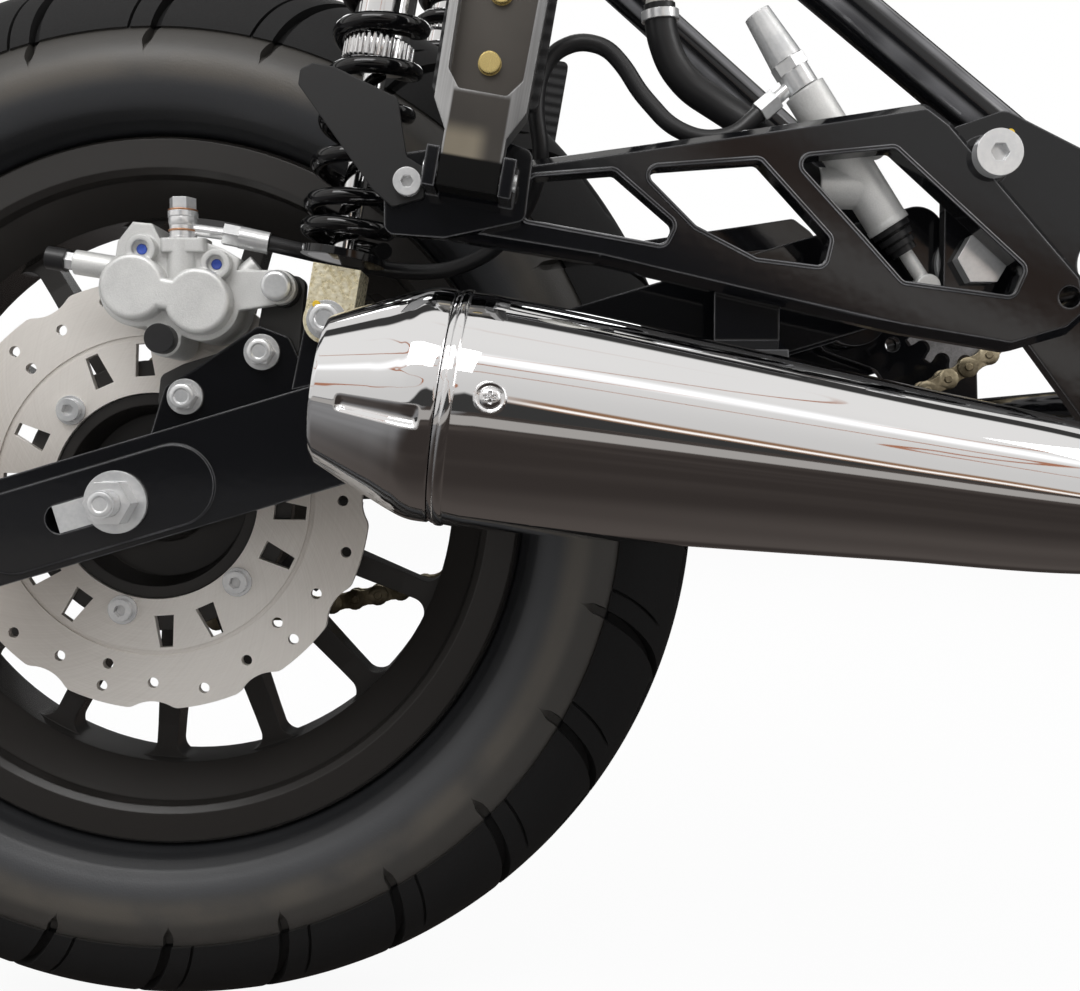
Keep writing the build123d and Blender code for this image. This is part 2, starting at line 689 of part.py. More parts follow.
# Openings in the casting, each a closed outline
HANGER_WINDOWS = (
    ((205.0, 141.0), (211.0, 156.0), (250.0, 159.0), (279.0, 134.0), (274.0, 124.0), (208.0, 136.0)),
    ((289.0, 133.0), (262.0, 160.0), (319.0, 164.0), (353.0, 127.0), (350.0, 114.0), (318.0, 118.0)),
    ((335.0, 165.0), (383.0, 169.5), (445.6, 113.0), (440.0, 100.0), (388.0, 107.0), (370.0, 127.0)),
)
for name, s in SIDES:
    with BuildPart() as hanger:
        with BuildSketch(side(s * HANGER_IN)) as hanger_sketch:
            Polygon(*HANGER_OUTLINE, align=None)
            fillet(hanger_sketch.vertices(), radius=6)
        extrude(amount=-s * (HANGER_OUT - HANGER_IN - HANGER_BEVEL_T))
        # The outer edge is bevelled all round
        with BuildSketch(side(s * (HANGER_OUT - HANGER_BEVEL_T))):
            add(hanger_sketch.sketch_local)
        extrude(amount=-s * HANGER_BEVEL_T, taper=degrees(atan2(HANGER_BEVEL, HANGER_BEVEL_T)))
        for outline in HANGER_WINDOWS:
            with BuildSketch(side(s * HANGER_IN)) as opening:
                Polygon(*outline, align=None)
                fillet(opening.vertices(), radius=4)
            extrude(amount=-s * (HANGER_OUT - HANGER_IN), mode=Mode.SUBTRACT)
        with BuildSketch(side(s * PLATE_OUT)):
            with Locations(*HANGER_BOLTS):
                Circle(13)
        extrude(amount=-s * (HANGER_IN - PLATE_OUT))
        with BuildSketch(side(s * PLATE_OUT)):
            with Locations(*HANGER_BOLTS):
                Circle(HANGER_HOLE_R)
        extrude(amount=-s * 40, mode=Mode.SUBTRACT)
    hanger.part.label = f"hanger_{name}"
    export_step(hanger.part, f"parts/hanger_{name}.step")

with BuildPart() as hanger_bolts:
    for s in (-1, 1):
        with BuildSketch(side(s * HANGER_OUT)):
            with Locations(HANGER_BOLTS[0]):
                Circle(11)
        extrude(amount=-s * 7)
        with BuildSketch(side(s * PLATE_IN)):
            with Locations(HANGER_BOLTS[0]):
                Circle(HANGER_BOLT_R)
        extrude(amount=-s * (HANGER_OUT - PLATE_IN))
        with BuildSketch(side(s * (HANGER_OUT + 7))):
            with Locations(HANGER_BOLTS[0]):
                RegularPolygon(4.6, 6)
        extrude(amount=s * 4, mode=Mode.SUBTRACT)
hanger_bolts.part.label = "hanger_bolts"
export_step(hanger_bolts.part, "parts/hanger_bolts.step")

# Passenger footrests, folded up, and their brackets
PEG_LEAN = 10.0
PEG_X = 183.0
PEG_Y = 181.0
PEG_Z = 152.0
PEG_L = 165.0
PEG_PIN_R = 4.0
PEG_COS = cos(radians(PEG_LEAN))
PEG_SIN = sin(radians(PEG_LEAN))
PEG_ROOT_HALF = 14.0
PEG_HALF_T = 8.0
PEG_CHANNEL_T = 11.0
PEG_PAD_LOW = 36.0
PEG_PAD_HALF = 25.0
PEG_PAD_T = 6.0
# The peg's outline and its channel, across and up the folded peg from its pin
PEG_OUTLINE = (
    (-14, 0), (-14, 17), (-21, 30), (-23, PEG_L), (23, PEG_L), (21, 30), (14, 17), (14, 0),
)
PEG_CHANNEL = ((-11, 36), (-17, 44), (-19, PEG_L - 5), (19, PEG_L - 5), (17, 44), (11, 36))
EAR_T = 6.0
EAR_HALF = 9.0
BRACKET_BASE_T = 8.0


def peg_face(s, y):
    """The plane at that y whose x runs along the peg's pin and whose y runs up the folded peg."""
    return Plane(at(PEG_X, s * y, PEG_Z), x_dir=(PEG_COS, 0, -PEG_SIN), z_dir=(0, -1, 0))


def pin_plane(s):
    """The plane across the peg's pin, at its middle."""
    return Plane(at(PEG_X, s * PEG_Y, PEG_Z), x_dir=(0, 1, 0), z_dir=(PEG_COS, 0, -PEG_SIN))


BASE_OUT = HANGER_OUT + BRACKET_BASE_T
BRACKET_BOLT = (153.5, 151.0)
BRACKET_BOLT_R = 4.0
GUARD_T = 3.0
with BuildPart() as brackets:
    for s in (-1, 1):
        with BuildSketch(side(s * HANGER_OUT)) as base:
            Polygon((142, 128), (142, 164), (196, 172), (212, 166), (208, 134), (170, 126), align=None)
            fillet(base.vertices(), radius=5)
        extrude(amount=-s * BRACKET_BASE_T)
        with BuildSketch(peg_face(s, BASE_OUT)):
            for ear_x in (-PEG_ROOT_HALF - EAR_T / 2 - 0.5, PEG_ROOT_HALF + EAR_T / 2 + 0.5):
                with Locations((ear_x, 0)):
                    Rectangle(EAR_T, 2 * EAR_HALF)
        extrude(amount=-s * (PEG_Y + EAR_HALF - BASE_OUT))
        with BuildSketch(pin_plane(s)):
            Circle(PEG_PIN_R + RUNNING_GAP)
        extrude(amount=40, both=True, mode=Mode.SUBTRACT)
brackets.part.label = "footrest_brackets"
export_step(brackets.part, "parts/footrest_brackets.step")

with BuildPart() as pins:
    for s in (-1, 1):
        with BuildSketch(pin_plane(s)):
            Circle(PEG_PIN_R)
        extrude(amount=PEG_ROOT_HALF + EAR_T + 1.5, both=True)
        # The bracket's bolt holds the heel guard too
        with BuildSketch(side(s * BASE_OUT)):
            with Locations(BRACKET_BOLT):
                Circle(BRACKET_BOLT_R)
        extrude(amount=-s * GUARD_T)
        with BuildSketch(side(s * (BASE_OUT + GUARD_T))):
            with Locations(BRACKET_BOLT):
                Circle(6.5)
                RegularPolygon(3, 6, mode=Mode.SUBTRACT)
        extrude(amount=-s * 4)
pins.part.label = "footrest_pins"
export_step(pins.part, "parts/footrest_pins.step")

for name, s in SIDES:
    with BuildPart() as peg:
        with BuildSketch(peg_face(s, PEG_Y)):
            Polygon(*PEG_OUTLINE, align=None)
            Rectangle(2 * PEG_ROOT_HALF, 2 * PEG_HALF_T)
        extrude(amount=PEG_HALF_T, both=True)
        # The channel opens outwards while the footrest is folded
        with BuildSketch(peg_face(s, PEG_Y + PEG_HALF_T)) as channel:
            Polygon(*PEG_CHANNEL, align=None)
            fillet(channel.vertices(), radius=2)
        extrude(amount=s * PEG_CHANNEL_T, mode=Mode.SUBTRACT)
        # The tread pad is on the other face
        with BuildSketch(peg_face(s, PEG_Y - PEG_HALF_T)) as tread:
            with Locations((0, (PEG_PAD_LOW + PEG_L) / 2)):
                RectangleRounded(2 * PEG_PAD_HALF, PEG_L - PEG_PAD_LOW, 4)
        extrude(amount=s * PEG_PAD_T)
        # Two screws hold the pad, through the channel's floor
        with BuildSketch(peg_face(s, PEG_Y + PEG_HALF_T - PEG_CHANNEL_T)):
            with Locations((0, 52), (0, 84)):
                Circle(5)
        extrude(amount=-s * 3)
        with BuildSketch(pin_plane(s)):
            Circle(PEG_PIN_R + RUNNING_GAP)
        extrude(amount=40, both=True, mode=Mode.SUBTRACT)
    peg.part.label = f"footrest_{name}"
    export_step(peg.part, f"parts/footrest_{name}.step")

with BuildPart() as guards:
    for s in (-1, 1):
        with BuildSketch(side(s * BASE_OUT)) as guard_sketch:
            Polygon((103, 196), (104, 203), (110, 206), (120, 204), (149, 190), (153, 163), (161, 158),
                    (161, 144), (146, 140), (137, 148), align=None)
            fillet(guard_sketch.vertices(), radius=2)
            with Locations(BRACKET_BOLT):
                Circle(BRACKET_BOLT_R + RUNNING_GAP, mode=Mode.SUBTRACT)
        extrude(amount=-s * GUARD_T)
guards.part.label = "heel_guards"
export_step(guards.part, "parts/heel_guards.step")

# Shock absorbers
shock_dir = Vector(SHOCK_TOP[0] - SHOCK_LOW[0], 0, SHOCK_TOP[1] - SHOCK_LOW[1])
SHOCK_L = shock_dir.length
shock_dir = shock_dir.normalized()


def shock_point(s, distance):
    """A point on the shock's middle line, that far above its lower bolt."""
    return at(SHOCK_LOW[0] + shock_dir.X * distance, s * SHOCK_Y, SHOCK_LOW[1] + shock_dir.Z * distance)


def shock_plane(s, distance):
    return Plane(origin=shock_point(s, distance), x_dir=(0, 1, 0), z_dir=shock_dir)


def shock_side(s, distance, out=0.0):
    """The plane across the bolt at that distance, moved outwards along the bolt."""
    return Plane(shock_point(s, distance) + Vector(0, s * out, 0), (1, 0, 0), (0, -1, 0))


# Damper sections: radius, from, to
SPRING_LOW = 36.0
SPRING_L = 232.0
SPRING_TOP = SPRING_LOW + SPRING_L
DAMPER = (
    (21.5, SPRING_LOW - 4, SPRING_LOW), (6.0, SPRING_LOW, 130), (14.8, 130, SPRING_TOP),
    (21.5, SPRING_TOP, SPRING_TOP + 6), (15.0, SPRING_TOP + 6, SHOCK_L - 12.3),
)
with BuildPart() as dampers:
    for s in (-1, 1):
        for radius, low, high in DAMPER:
            with BuildSketch(shock_plane(s, low)):
                Circle(radius)
            extrude(amount=high - low)
        with BuildSketch(shock_side(s, SHOCK_L)):
            Circle(14)
            Circle(SHOCK_BOLT_R + RUNNING_GAP, mode=Mode.SUBTRACT)
        extrude(amount=11.7, both=True)
dampers.part.label = "shock_dampers"
export_step(dampers.part, "parts/shock_dampers.step")

with BuildPart() as spring:
    with BuildLine() as coil_path:
        Helix(pitch=21, height=SPRING_L - 2 * WIRE_R - 2 * SEAT_GAP, radius=SPRING_R - WIRE_R)
    with BuildSketch(Plane(coil_path.line @ 0, z_dir=coil_path.line % 0)):
        RegularPolygon(WIRE_R, 6)
    sweep(path=coil_path.line, is_frenet=True)

with BuildPart() as springs:
    spring_start = SPRING_LOW + WIRE_R + SEAT_GAP
    with Locations(shock_plane(-1, spring_start).location, shock_plane(1, spring_start).location):
        add(spring.part)
springs.part.label = "shock_springs"
export_step(springs.part, "parts/shock_springs.step")

with BuildPart() as clevises:
    for s in (-1, 1):
        with BuildSketch(shock_side(s, 0)):
            Circle(12)
            with Locations((3, 14)):
                Rectangle(24, 26, rotation=-degrees(atan2(shock_dir.X, shock_dir.Z)))
        extrude(amount=14, both=True)
        with BuildSketch(shock_side(s, 0)):
            Circle(15)
            with Locations((0, -10)):
                Rectangle(40, 20)
        extrude(amount=4.3, both=True, mode=Mode.SUBTRACT)
        with BuildSketch(shock_plane(s, 31.7)):
            Rectangle(60, 60)
        extrude(amount=30, mode=Mode.SUBTRACT)
        with BuildSketch(shock_side(s, 0)):
            Circle(SHOCK_BOLT_R + RUNNING_GAP)
        extrude(amount=40, both=True, mode=Mode.SUBTRACT)
clevises.part.label = "shock_clevises"
export_step(clevises.part, "parts/shock_clevises.step")

with BuildPart() as shock_bolts:
    for s in (-1, 1):
        for distance, reach in ((0, 14), (SHOCK_L, 12)):
            with BuildSketch(shock_side(s, distance)):
                Circle(SHOCK_BOLT_R)
            extrude(amount=reach, both=True)
            with BuildSketch(shock_side(s, distance, reach)):
                Circle(10)
            extrude(amount=-s * 2)
            with BuildSketch(shock_side(s, distance, reach + 2)):
                RegularPolygon(8, 6)
            extrude(amount=-s * 7)
shock_bolts.part.label = "shock_bolts"
export_step(shock_bolts.part, "parts/shock_bolts.step")

# Silencer. Rows: distance forward of the joint between cap and body, radius
silencer_dir = Vector(cos(radians(SILENCER_FALL)), 0, -sin(radians(SILENCER_FALL)))
SILENCER_JOINT = at(172, SILENCER_Y, 46.5)
silencer_section = Plane(origin=SILENCER_JOINT, x_dir=silencer_dir, z_dir=(0, -1, 0))
silencer_axis = Axis(SILENCER_JOINT, silencer_dir)
SILENCER_L = 344.0
NECK_R = 26.0
INLET_BORE_R = 19.0
SILENCER_SKIN = ((0, 53.5), (3, 54.2), (40, 52.0), (SILENCER_L - 44, 33.0), (SILENCER_L, NECK_R))
with BuildPart() as silencer:
    with BuildSketch(silencer_section):
        with BuildLine():
            Polyline((0, 0), *SILENCER_SKIN, (SILENCER_L, 0), close=True)
        make_face()
    revolve(axis=silencer_axis)
silencer.part.label = "silencer_body"
export_step(silencer.part, "parts/silencer_body.step")

with BuildPart() as cap:
    with BuildSketch(silencer_section):
        with BuildLine():
            Polyline((-55, 30.0), (-56, 32.5), (-54, 34), (-8, 52.5), (-0.3, 53.0), (-0.3, 0), (-8, 0),
                     (-8, 26), (-50, 26), close=True)
        make_face()
    revolve(axis=silencer_axis)
cap.part.label = "silencer_end_cap"
export_step(cap.part, "parts/silencer_end_cap.step")

# Inlet pipe with a collar at its root and a clamp near its end
INLET_START = SILENCER_L + SEAT_GAP
INLET_R = 23.0
with BuildPart() as inlet:
    with BuildSketch(silencer_section):
        with BuildLine():
            Polyline(
                (INLET_START, INLET_BORE_R),
                (INLET_START, NECK_R - 0.5),
                (INLET_START + 7.7, NECK_R - 0.5),
                (INLET_START + 7.7, INLET_R),
                (INLET_START + 35.7, INLET_R),
                (INLET_START + 35.7, INLET_R + 2.5),
                (INLET_START + 51.7, INLET_R + 2.5),
                (INLET_START + 51.7, INLET_R - 1),
                (INLET_START + 59.7, INLET_R - 1),
                (INLET_START + 59.7, INLET_BORE_R),
                close=True,
            )
        make_face()
    revolve(axis=silencer_axis)
inlet.part.label = "silencer_inlet"
export_step(inlet.part, "parts/silencer_inlet.step")

with BuildPart() as silencer_room:
    with BuildSketch(silencer_section):
        with BuildLine():
            Polyline((0, 0), *[(along_axis, radius + SEAT_GAP) for along_axis, radius in SILENCER_SKIN],
                     (SILENCER_L, 0), close=True)
        make_face()
    revolve(axis=silencer_axis)

# The stay that carries the silencer: a plate behind the hanger whose foot is shaped to the silencer
with BuildPart() as silencer_bracket:
    with BuildSketch(Plane(at(300, 0, 0), x_dir=(0, -1, 0), z_dir=(-1, 0, 0))):
        Polygon((141, 112), (HANGER_IN - SEAT_GAP, 112), (HANGER_IN - SEAT_GAP, 80), (168, 74), (174, 56),
                (158, 46), (146, 60), (141, 70), align=None)
    extrude(amount=-32)
    add(silencer_room.part, mode=Mode.SUBTRACT)
silencer_bracket.part.label = "silencer_bracket"
export_step(silencer_bracket.part, "parts/silencer_bracket.step")

# Rear brake caliper
TAB_OUT = ARM_IN
TAB_T = 6.0
BRACKET_OUT = TAB_OUT - TAB_T
BRACKET_T = 8.0
CALIPER_BOLTS = ((26.9, 54.4), (67.8, 77.9))
CALIPER_PIN = (78.4, 111.2)
CALIPER_PIN_R = 5.0
CALIPER_BOLT_R = 5.0
CALIPER_PIN_HEAD = 104.3
BOLT_FLANGE_R = 9.5
BRACKET_OUTLINE = (
    (10, 50), (26, 40), (70, 60), (86, 78), (90, 118), (70, 121), (63, 84), (24, 72), (12, 66),
)
with BuildPart() as caliper_tab:
    with BuildSketch(side(-BRACKET_OUT)) as tab_sketch:
        Polygon((4, 22), (16, 60), (30, 68), (66, 92), (82, 86), (98, 50), (60, 16), align=None)
        fillet(tab_sketch.vertices(), radius=5)
        with Locations(*CALIPER_BOLTS):
            Circle(CALIPER_BOLT_R + RUNNING_GAP, mode=Mode.SUBTRACT)
    extrude(amount=TAB_T)
caliper_tab.part.label = "caliper_tab"
export_step(caliper_tab.part, "parts/caliper_tab.step")

with BuildPart() as caliper_bracket:
    with BuildSketch(side(-(BRACKET_OUT - BRACKET_T))) as bracket_sketch:
        Polygon(*BRACKET_OUTLINE, align=None)
        fillet(bracket_sketch.vertices(), radius=5)
        with Locations(*CALIPER_BOLTS):
            Circle(CALIPER_BOLT_R + RUNNING_GAP, mode=Mode.SUBTRACT)
        with Locations(CALIPER_PIN):
            Circle(CALIPER_PIN_R + RUNNING_GAP, mode=Mode.SUBTRACT)
    extrude(amount=BRACKET_T)
caliper_bracket.part.label = "caliper_bracket"
export_step(caliper_bracket.part, "parts/caliper_bracket.step")

with BuildPart() as caliper_bolts:
    with BuildSketch(side(-TAB_OUT)):
        with Locations(*CALIPER_BOLTS):
            Circle(BOLT_FLANGE_R)
    extrude(amount=2)
    with BuildSketch(side(-TAB_OUT - 2)):
        with Locations(*CALIPER_BOLTS):
            RegularPolygon(7.5, 6)
    extrude(amount=6)
    with BuildSketch(side(-TAB_OUT)):
        with Locations(*CALIPER_BOLTS):
            Circle(CALIPER_BOLT_R)
    extrude(amount=-(TAB_T + BRACKET_T))
caliper_bolts.part.label = "caliper_bolts"
export_step(caliper_bolts.part, "parts/caliper_bolts.step")

PISTONS = ((4.5, 110.6), (38.0, 103.3))
CALIPER_BACK = -44.0
CALIPER_FACE = -104.0
CALIPER_CAP = 9.0
PAD_T = 4.5
PAD_GAP = 0.5
OUTER_PAD = -(DISC_FACE + PAD_GAP)
INNER_PAD = -(DISC_FACE - DISC_T - PAD_GAP)
SEAT_BOLTS = ((8.4, 130.3), (47.1, 122.5))
PLUG = (18.0, 84.0)
BANJO_X = 28.0
BANJO_Y = -100.0
BANJO_SEAT = 136.2
BLEED = at(-8, -98, 121.6)
BLEED_END = at(-29, -98, 125.0)
SLANT = at(50, -98, 111)
SLANT_END = at(66, -98, 123.8)
with BuildPart() as caliper:
    with BuildSketch(side(OUTER_PAD - PAD_T)):
        with Locations(*PISTONS):
            Circle(20)
        Polygon((-8, 118), (-5, 135), (3, 145), (13, 144), (18, 134), (42, 134), (50, 131), (58, 126),
                (54, 108), (40, 96), (8, 98), align=None)
        with Locations(PLUG):
            Circle(9)
        Polygon((9, 84), (27, 84), (30, 96), (10, 98), align=None)
    extrude(amount=OUTER_PAD - PAD_T - CALIPER_FACE)
    with BuildSketch(side(CALIPER_FACE)):
        with Locations(*PISTONS):
            Circle(17)
        with Locations((21.3, 107)):
            Rectangle(30, 16, rotation=-12)
    extrude(amount=CALIPER_CAP)
    fillet(caliper.faces().sort_by(Axis.Y)[0].edges(), radius=2.5)
    # Bosses of the two socket bolts, each with its bolt sunk in it
    with BuildSketch(side(CALIPER_FACE)):
        with Locations(*SEAT_BOLTS):
            Circle(7.6)
            Circle(4.6, mode=Mode.SUBTRACT)
    extrude(amount=6)
    with BuildSketch(side(CALIPER_FACE)):
        with Locations(*SEAT_BOLTS):
            Circle(4.8)
            RegularPolygon(3, 6, mode=Mode.SUBTRACT)
    extrude(amount=3)
    # Inlet boss, whose top is the seat of the hose's ring
    with BuildSketch(Plane(at(BANJO_X, BANJO_Y, 112))):
        Circle(8.5)
    extrude(amount=BANJO_SEAT - 112)
    with BuildSketch(Plane(at(29.5, BANJO_Y, 129))):
        RectangleRounded(24, 16, 3)
    extrude(amount=BANJO_SEAT - 129)
    # Bleed boss, and the slanted boss beside the slide pin
    with BuildSketch(along(BLEED, BLEED_END)):
        Circle(6.5)
    extrude(amount=(BLEED_END - BLEED).length)
    with BuildSketch(along(SLANT, SLANT_END)):
        Circle(5.2)
    extrude(amount=(SLANT_END - SLANT).length)
    # Ear round the slide pin
    with BuildSketch(side(CALIPER_FACE + 6)):
        Polygon((50, 98), (76, 102), (76, 120), (50, 120), align=None)
        with Locations(CALIPER_PIN):
            Circle(9)
            Circle(CALIPER_PIN_R + RUNNING_GAP, mode=Mode.SUBTRACT)
    extrude(amount=6)
    # Bridge over the disc's edge, and the half behind the disc
    with BuildSketch(side(CALIPER_BACK)) as bridge:
        Polygon((-16, 108), (-14, 128), (2, 141), (14, 141), (22, 134), (44, 131), (56, 127), (58, 112),
                (44, 94), (4, 96), align=None)
        fillet(bridge.vertices(), radius=4)
    extrude(amount=CALIPER_BACK - OUTER_PAD + PAD_T)
    with BuildSketch(side(INNER_PAD + PAD_T)):
        Circle(DISC_R + 3.5)
    extrude(amount=INNER_PAD - OUTER_PAD + 2 * PAD_T, mode=Mode.SUBTRACT)
    with BuildSketch(side(-(TAB_OUT + 2))):
        with Locations(*CALIPER_BOLTS):
            Circle(BOLT_FLANGE_R + SEAT_GAP)
    extrude(amount=40, mode=Mode.SUBTRACT)
    with BuildSketch(side(-(BRACKET_OUT - BRACKET_T) + SEAT_GAP)) as bracket_room:
        Polygon(*BRACKET_OUTLINE, align=None)
        fillet(bracket_room.vertices(), radius=5)
        offset(amount=SEAT_GAP)
    extrude(amount=BRACKET_T + TAB_T + 2 * SEAT_GAP, mode=Mode.SUBTRACT)
caliper.part.label = "caliper_body"
export_step(caliper.part, "parts/caliper_body.step")

with BuildPart() as caliper_pin:
    with BuildSketch(side(-(BRACKET_OUT - BRACKET_T) + 2)):
        with Locations(CALIPER_PIN):
            Circle(CALIPER_PIN_R)
    extrude(amount=CALIPER_PIN_HEAD - (BRACKET_OUT - BRACKET_T) + 2)
    with BuildSketch(side(-CALIPER_PIN_HEAD)):
        with Locations(CALIPER_PIN):
            Circle(8)
    extrude(amount=8)
    fillet(caliper_pin.faces().sort_by(Axis.Y)[0].edges(), radius=2.5)
caliper_pin.part.label = "caliper_pin"
export_step(caliper_pin.part, "parts/caliper_pin.step")

# Brake pads, one each side of the disc
with BuildPart() as pads:
    for near, way in ((OUTER_PAD, 1), (INNER_PAD, -1)):
        with BuildSketch(side(near)) as pad_sketch:
            Polygon((-13, 98), (-14, 117), (4, 119), (25, 116), (40, 111), (54, 101), (49, 85), (20, 91),
                    align=None)
            fillet(pad_sketch.vertices(), radius=2)
        extrude(amount=way * PAD_T)
pads.part.label = "brake_pads"
export_step(pads.part, "parts/brake_pads.step")

# Brake hose, reservoir hose and what they join. Routes: points from the axle
MASTER_Y = -135.0
MASTER_LOW = at(387.9, MASTER_Y, 136.8)
MASTER_TOP = at(345.3, MASTER_Y, 203.4)
MASTER_R = 10.3
FERRULE_END = (72.0, -96.0, 135.0)
FITTING_END = (323.0, MASTER_Y, 192.4)
PORT_END = (354.0, -134.0, 156.0)
BRAKE_HOSE_R = 4.2
RESERVOIR_HOSE_R = 8.0
BRAKE_ROUTE = (
    FERRULE_END, (92, -91, 131), (116, -86.5, 125.5), (141, -85, 121.5), (167, -88.5, 121.5),
    (191, -99, 130.5), (208, -113, 149), (216.5, -124.5, 172), (212.5, -130, 196), (214.8, -130.5, 212.3),
    (222, -131, 223.7), (234.5, -131, 228.9), (247.8, -131, 226), (256.9, -131.5, 216), (264, -132, 204),
    (279, -134, 186.5), (294.5, MASTER_Y, 179.5), (311, MASTER_Y, 181.5), FITTING_END,
)
RESERVOIR_ROUTE = (
    (275.3, -118, 251), (276.3, -117, 237.5), (281.5, -115.8, 222.5), (291.5, -115, 210.5),
    (307, -115.8, 200.5), (324, -119.5, 188.5), (335.5, -124.5, 175.5), (344, -129.5, 163.5), PORT_END,
)
STEEPEST_ARC = 0.45


def turn_radii(route):
    """At each inner point, the radius of the largest arc that leaves some of both runs straight."""
    radii = []
    for before, point, after in zip(route, route[1:], route[2:]):
        first = Vector(*point) - Vector(*before)
        second = Vector(*after) - Vector(*point)
        half_turn = radians(first.get_angle(second)) / 2
        radii.append(STEEPEST_ARC * min(first.length, second.length) / tan(half_turn))
    return radii


def hose(name, route, hose_r):
    """A round hose of straight runs joined by tangent arcs."""
    radii = turn_radii(route)
    with BuildPart() as tube:
        with BuildLine() as line:
            FilletPolyline(*[at(*point) for point in route], radius=radii)
        with BuildSketch(Plane(line.line @ 0, z_dir=line.line % 0)):
            Circle(hose_r)
        sweep(path=line.line)
    length = sum(edge.length for edge in line.edges())
    whole = tube.part.volume / (pi * hose_r**2 * length)
    print(name, "length", round(length), "volume over section x length", round(whole, 4))
    print("radii of its bends", [round(radius) for radius in radii])
    return tube.part


with BuildPart() as brake_hose:
    add(hose("brake hose", BRAKE_ROUTE, BRAKE_HOSE_R))
brake_hose.part.label = "brake_hose"
export_step(brake_hose.part, "parts/brake_hose.step")

with BuildPart() as reservoir_hose:
    add(hose("reservoir hose", RESERVOIR_ROUTE, RESERVOIR_HOSE_R))
reservoir_hose.part.label = "reservoir_hose"
export_step(reservoir_hose.part, "parts/reservoir_hose.step")

# Steel pieces at the hoses' ends: each row is a round bar's start, end and radius
BANJO_Z = BANJO_SEAT + 6.4
BARS = (
    (at(BANJO_X, BANJO_Y, BANJO_SEAT), at(BANJO_X, BANJO_Y, BANJO_SEAT + 1.2), 7.4),
    (at(BANJO_X, BANJO_Y, BANJO_SEAT + 1.2), at(BANJO_X, BANJO_Y, BANJO_SEAT + 11.6), 7.0),
    (at(BANJO_X, BANJO_Y, BANJO_SEAT + 11.6), at(BANJO_X, BANJO_Y, BANJO_SEAT + 14.5), 7.8),
    (at(BANJO_X + 5, BANJO_Y, BANJO_Z - 1), at(50, -98.7, 139.4), 3.2),
    (at(57, -98, 138), at(*FERRULE_END), 5.8),
)
MASTER_DIR = (MASTER_TOP - MASTER_LOW).normalized()
SWITCH_LOW = MASTER_TOP + MASTER_DIR * 1.0
SWITCH_RING = MASTER_TOP + MASTER_DIR * 6.0
SWITCH_HEX = MASTER_TOP + MASTER_DIR * 11.0
SWITCH_BODY = MASTER_TOP + MASTER_DIR * 17.0
SWITCH_TOP = MASTER_TOP + MASTER_DIR * 44.0
with BuildPart() as fittings:
    for bar_start, bar_end, bar_r in BARS:
        with BuildSketch(along(bar_start, bar_end)):
            Circle(bar_r)
        extrude(amount=(bar_end - bar_start).length)
    with BuildSketch(Plane(at(BANJO_X, BANJO_Y, BANJO_SEAT + 14.5))):
        RegularPolygon(7, 6)
    extrude(amount=7)
    hex_start = at(49, -98.8, 139.5)
    with BuildSketch(along(hex_start, at(57, -98, 138))):
        RegularPolygon(6, 6)
    extrude(amount=8.6)
    # Bleed screw
    with BuildSketch(along(BLEED_END, BLEED_END * 2 - BLEED)):
        RegularPolygon(5, 6)
    extrude(amount=5)
    # Ring and pressure switch on the master cylinder
    with BuildSketch(along(SWITCH_LOW, SWITCH_TOP)):
        Circle(8)
    extrude(amount=10)
    with BuildSketch(along(SWITCH_HEX, SWITCH_TOP)):
        RegularPolygon(9, 6)
    extrude(amount=6)
    with BuildSketch(along(SWITCH_BODY, SWITCH_TOP)):
        Circle(8.5)
    extrude(amount=27, taper=4)
    arm_end = at(*FITTING_END)
    arm_mid = arm_end + (SWITCH_RING - arm_end) * 0.42
    with BuildSketch(along(arm_end, SWITCH_RING)):
        RegularPolygon(6, 6)
    extrude(amount=(arm_mid - arm_end).length)
    with BuildSketch(along(arm_mid, SWITCH_RING)):
        Circle(3.4)
    extrude(amount=(SWITCH_RING - arm_mid).length)
    # Band round the reservoir hose's top
    band = [at(*point) for point in RESERVOIR_ROUTE[:2]]
    with BuildSketch(along(band[0] + (band[1] - band[0]) * 0.25, band[1])):
        Circle(RESERVOIR_HOSE_R + 1.6)
        Circle(RESERVOIR_HOSE_R, mode=Mode.SUBTRACT)
    extrude(amount=4.5)
    add(brake_hose.part, mode=Mode.SUBTRACT)
    add(reservoir_hose.part, mode=Mode.SUBTRACT)
fittings.part.label = "hose_fittings"
export_step(fittings.part, "parts/hose_fittings.step")

# Master cylinder, its push rod, and the rubber boots
ROD_END = at(406, MASTER_Y, 109.5)
MASTER_BOOT = MASTER_LOW - MASTER_DIR * 12.5
PORT_BACK = at(376, MASTER_Y, 155.5)
PORT_START = at(*PORT_END) - Vector(1.5, 0, 0)
with BuildPart() as master:
    with BuildSketch(along(MASTER_LOW, MASTER_TOP)):
        Circle(MASTER_R)
    extrude(amount=(MASTER_TOP - MASTER_LOW).length)
    with BuildSketch(along(MASTER_LOW, MASTER_TOP)):
        Circle(MASTER_R + 0.3)
    extrude(amount=3)
    with BuildSketch(along(PORT_START, PORT_BACK)):
        Circle(RESERVOIR_HOSE_R + 2)
    extrude(amount=(PORT_BACK - PORT_START).length)
    # Two lugs against the hanger
    for lug in ((352, 176.5), (381, 176.5)):
        with BuildSketch(side(MASTER_Y + 4)):
            with Locations(lug):
                Circle(6)
        extrude(amount=HANGER_IN + MASTER_Y + 4)
    with BuildSketch(side(MASTER_Y + 3)):
        with Locations((366.5, 176.5)):
            SlotOverall(41, 12)
    extrude(amount=6)
    add(reservoir_hose.part, mode=Mode.SUBTRACT)
    # Push rod and its end
    with BuildSketch(along(MASTER_BOOT, ROD_END)):
        Circle(3.5)
    extrude(amount=(ROD_END - MASTER_BOOT).length)
    with BuildSketch(side(MASTER_Y + 6)):
        with Locations((406, 107)):
            Circle(6)
    extrude(amount=12)
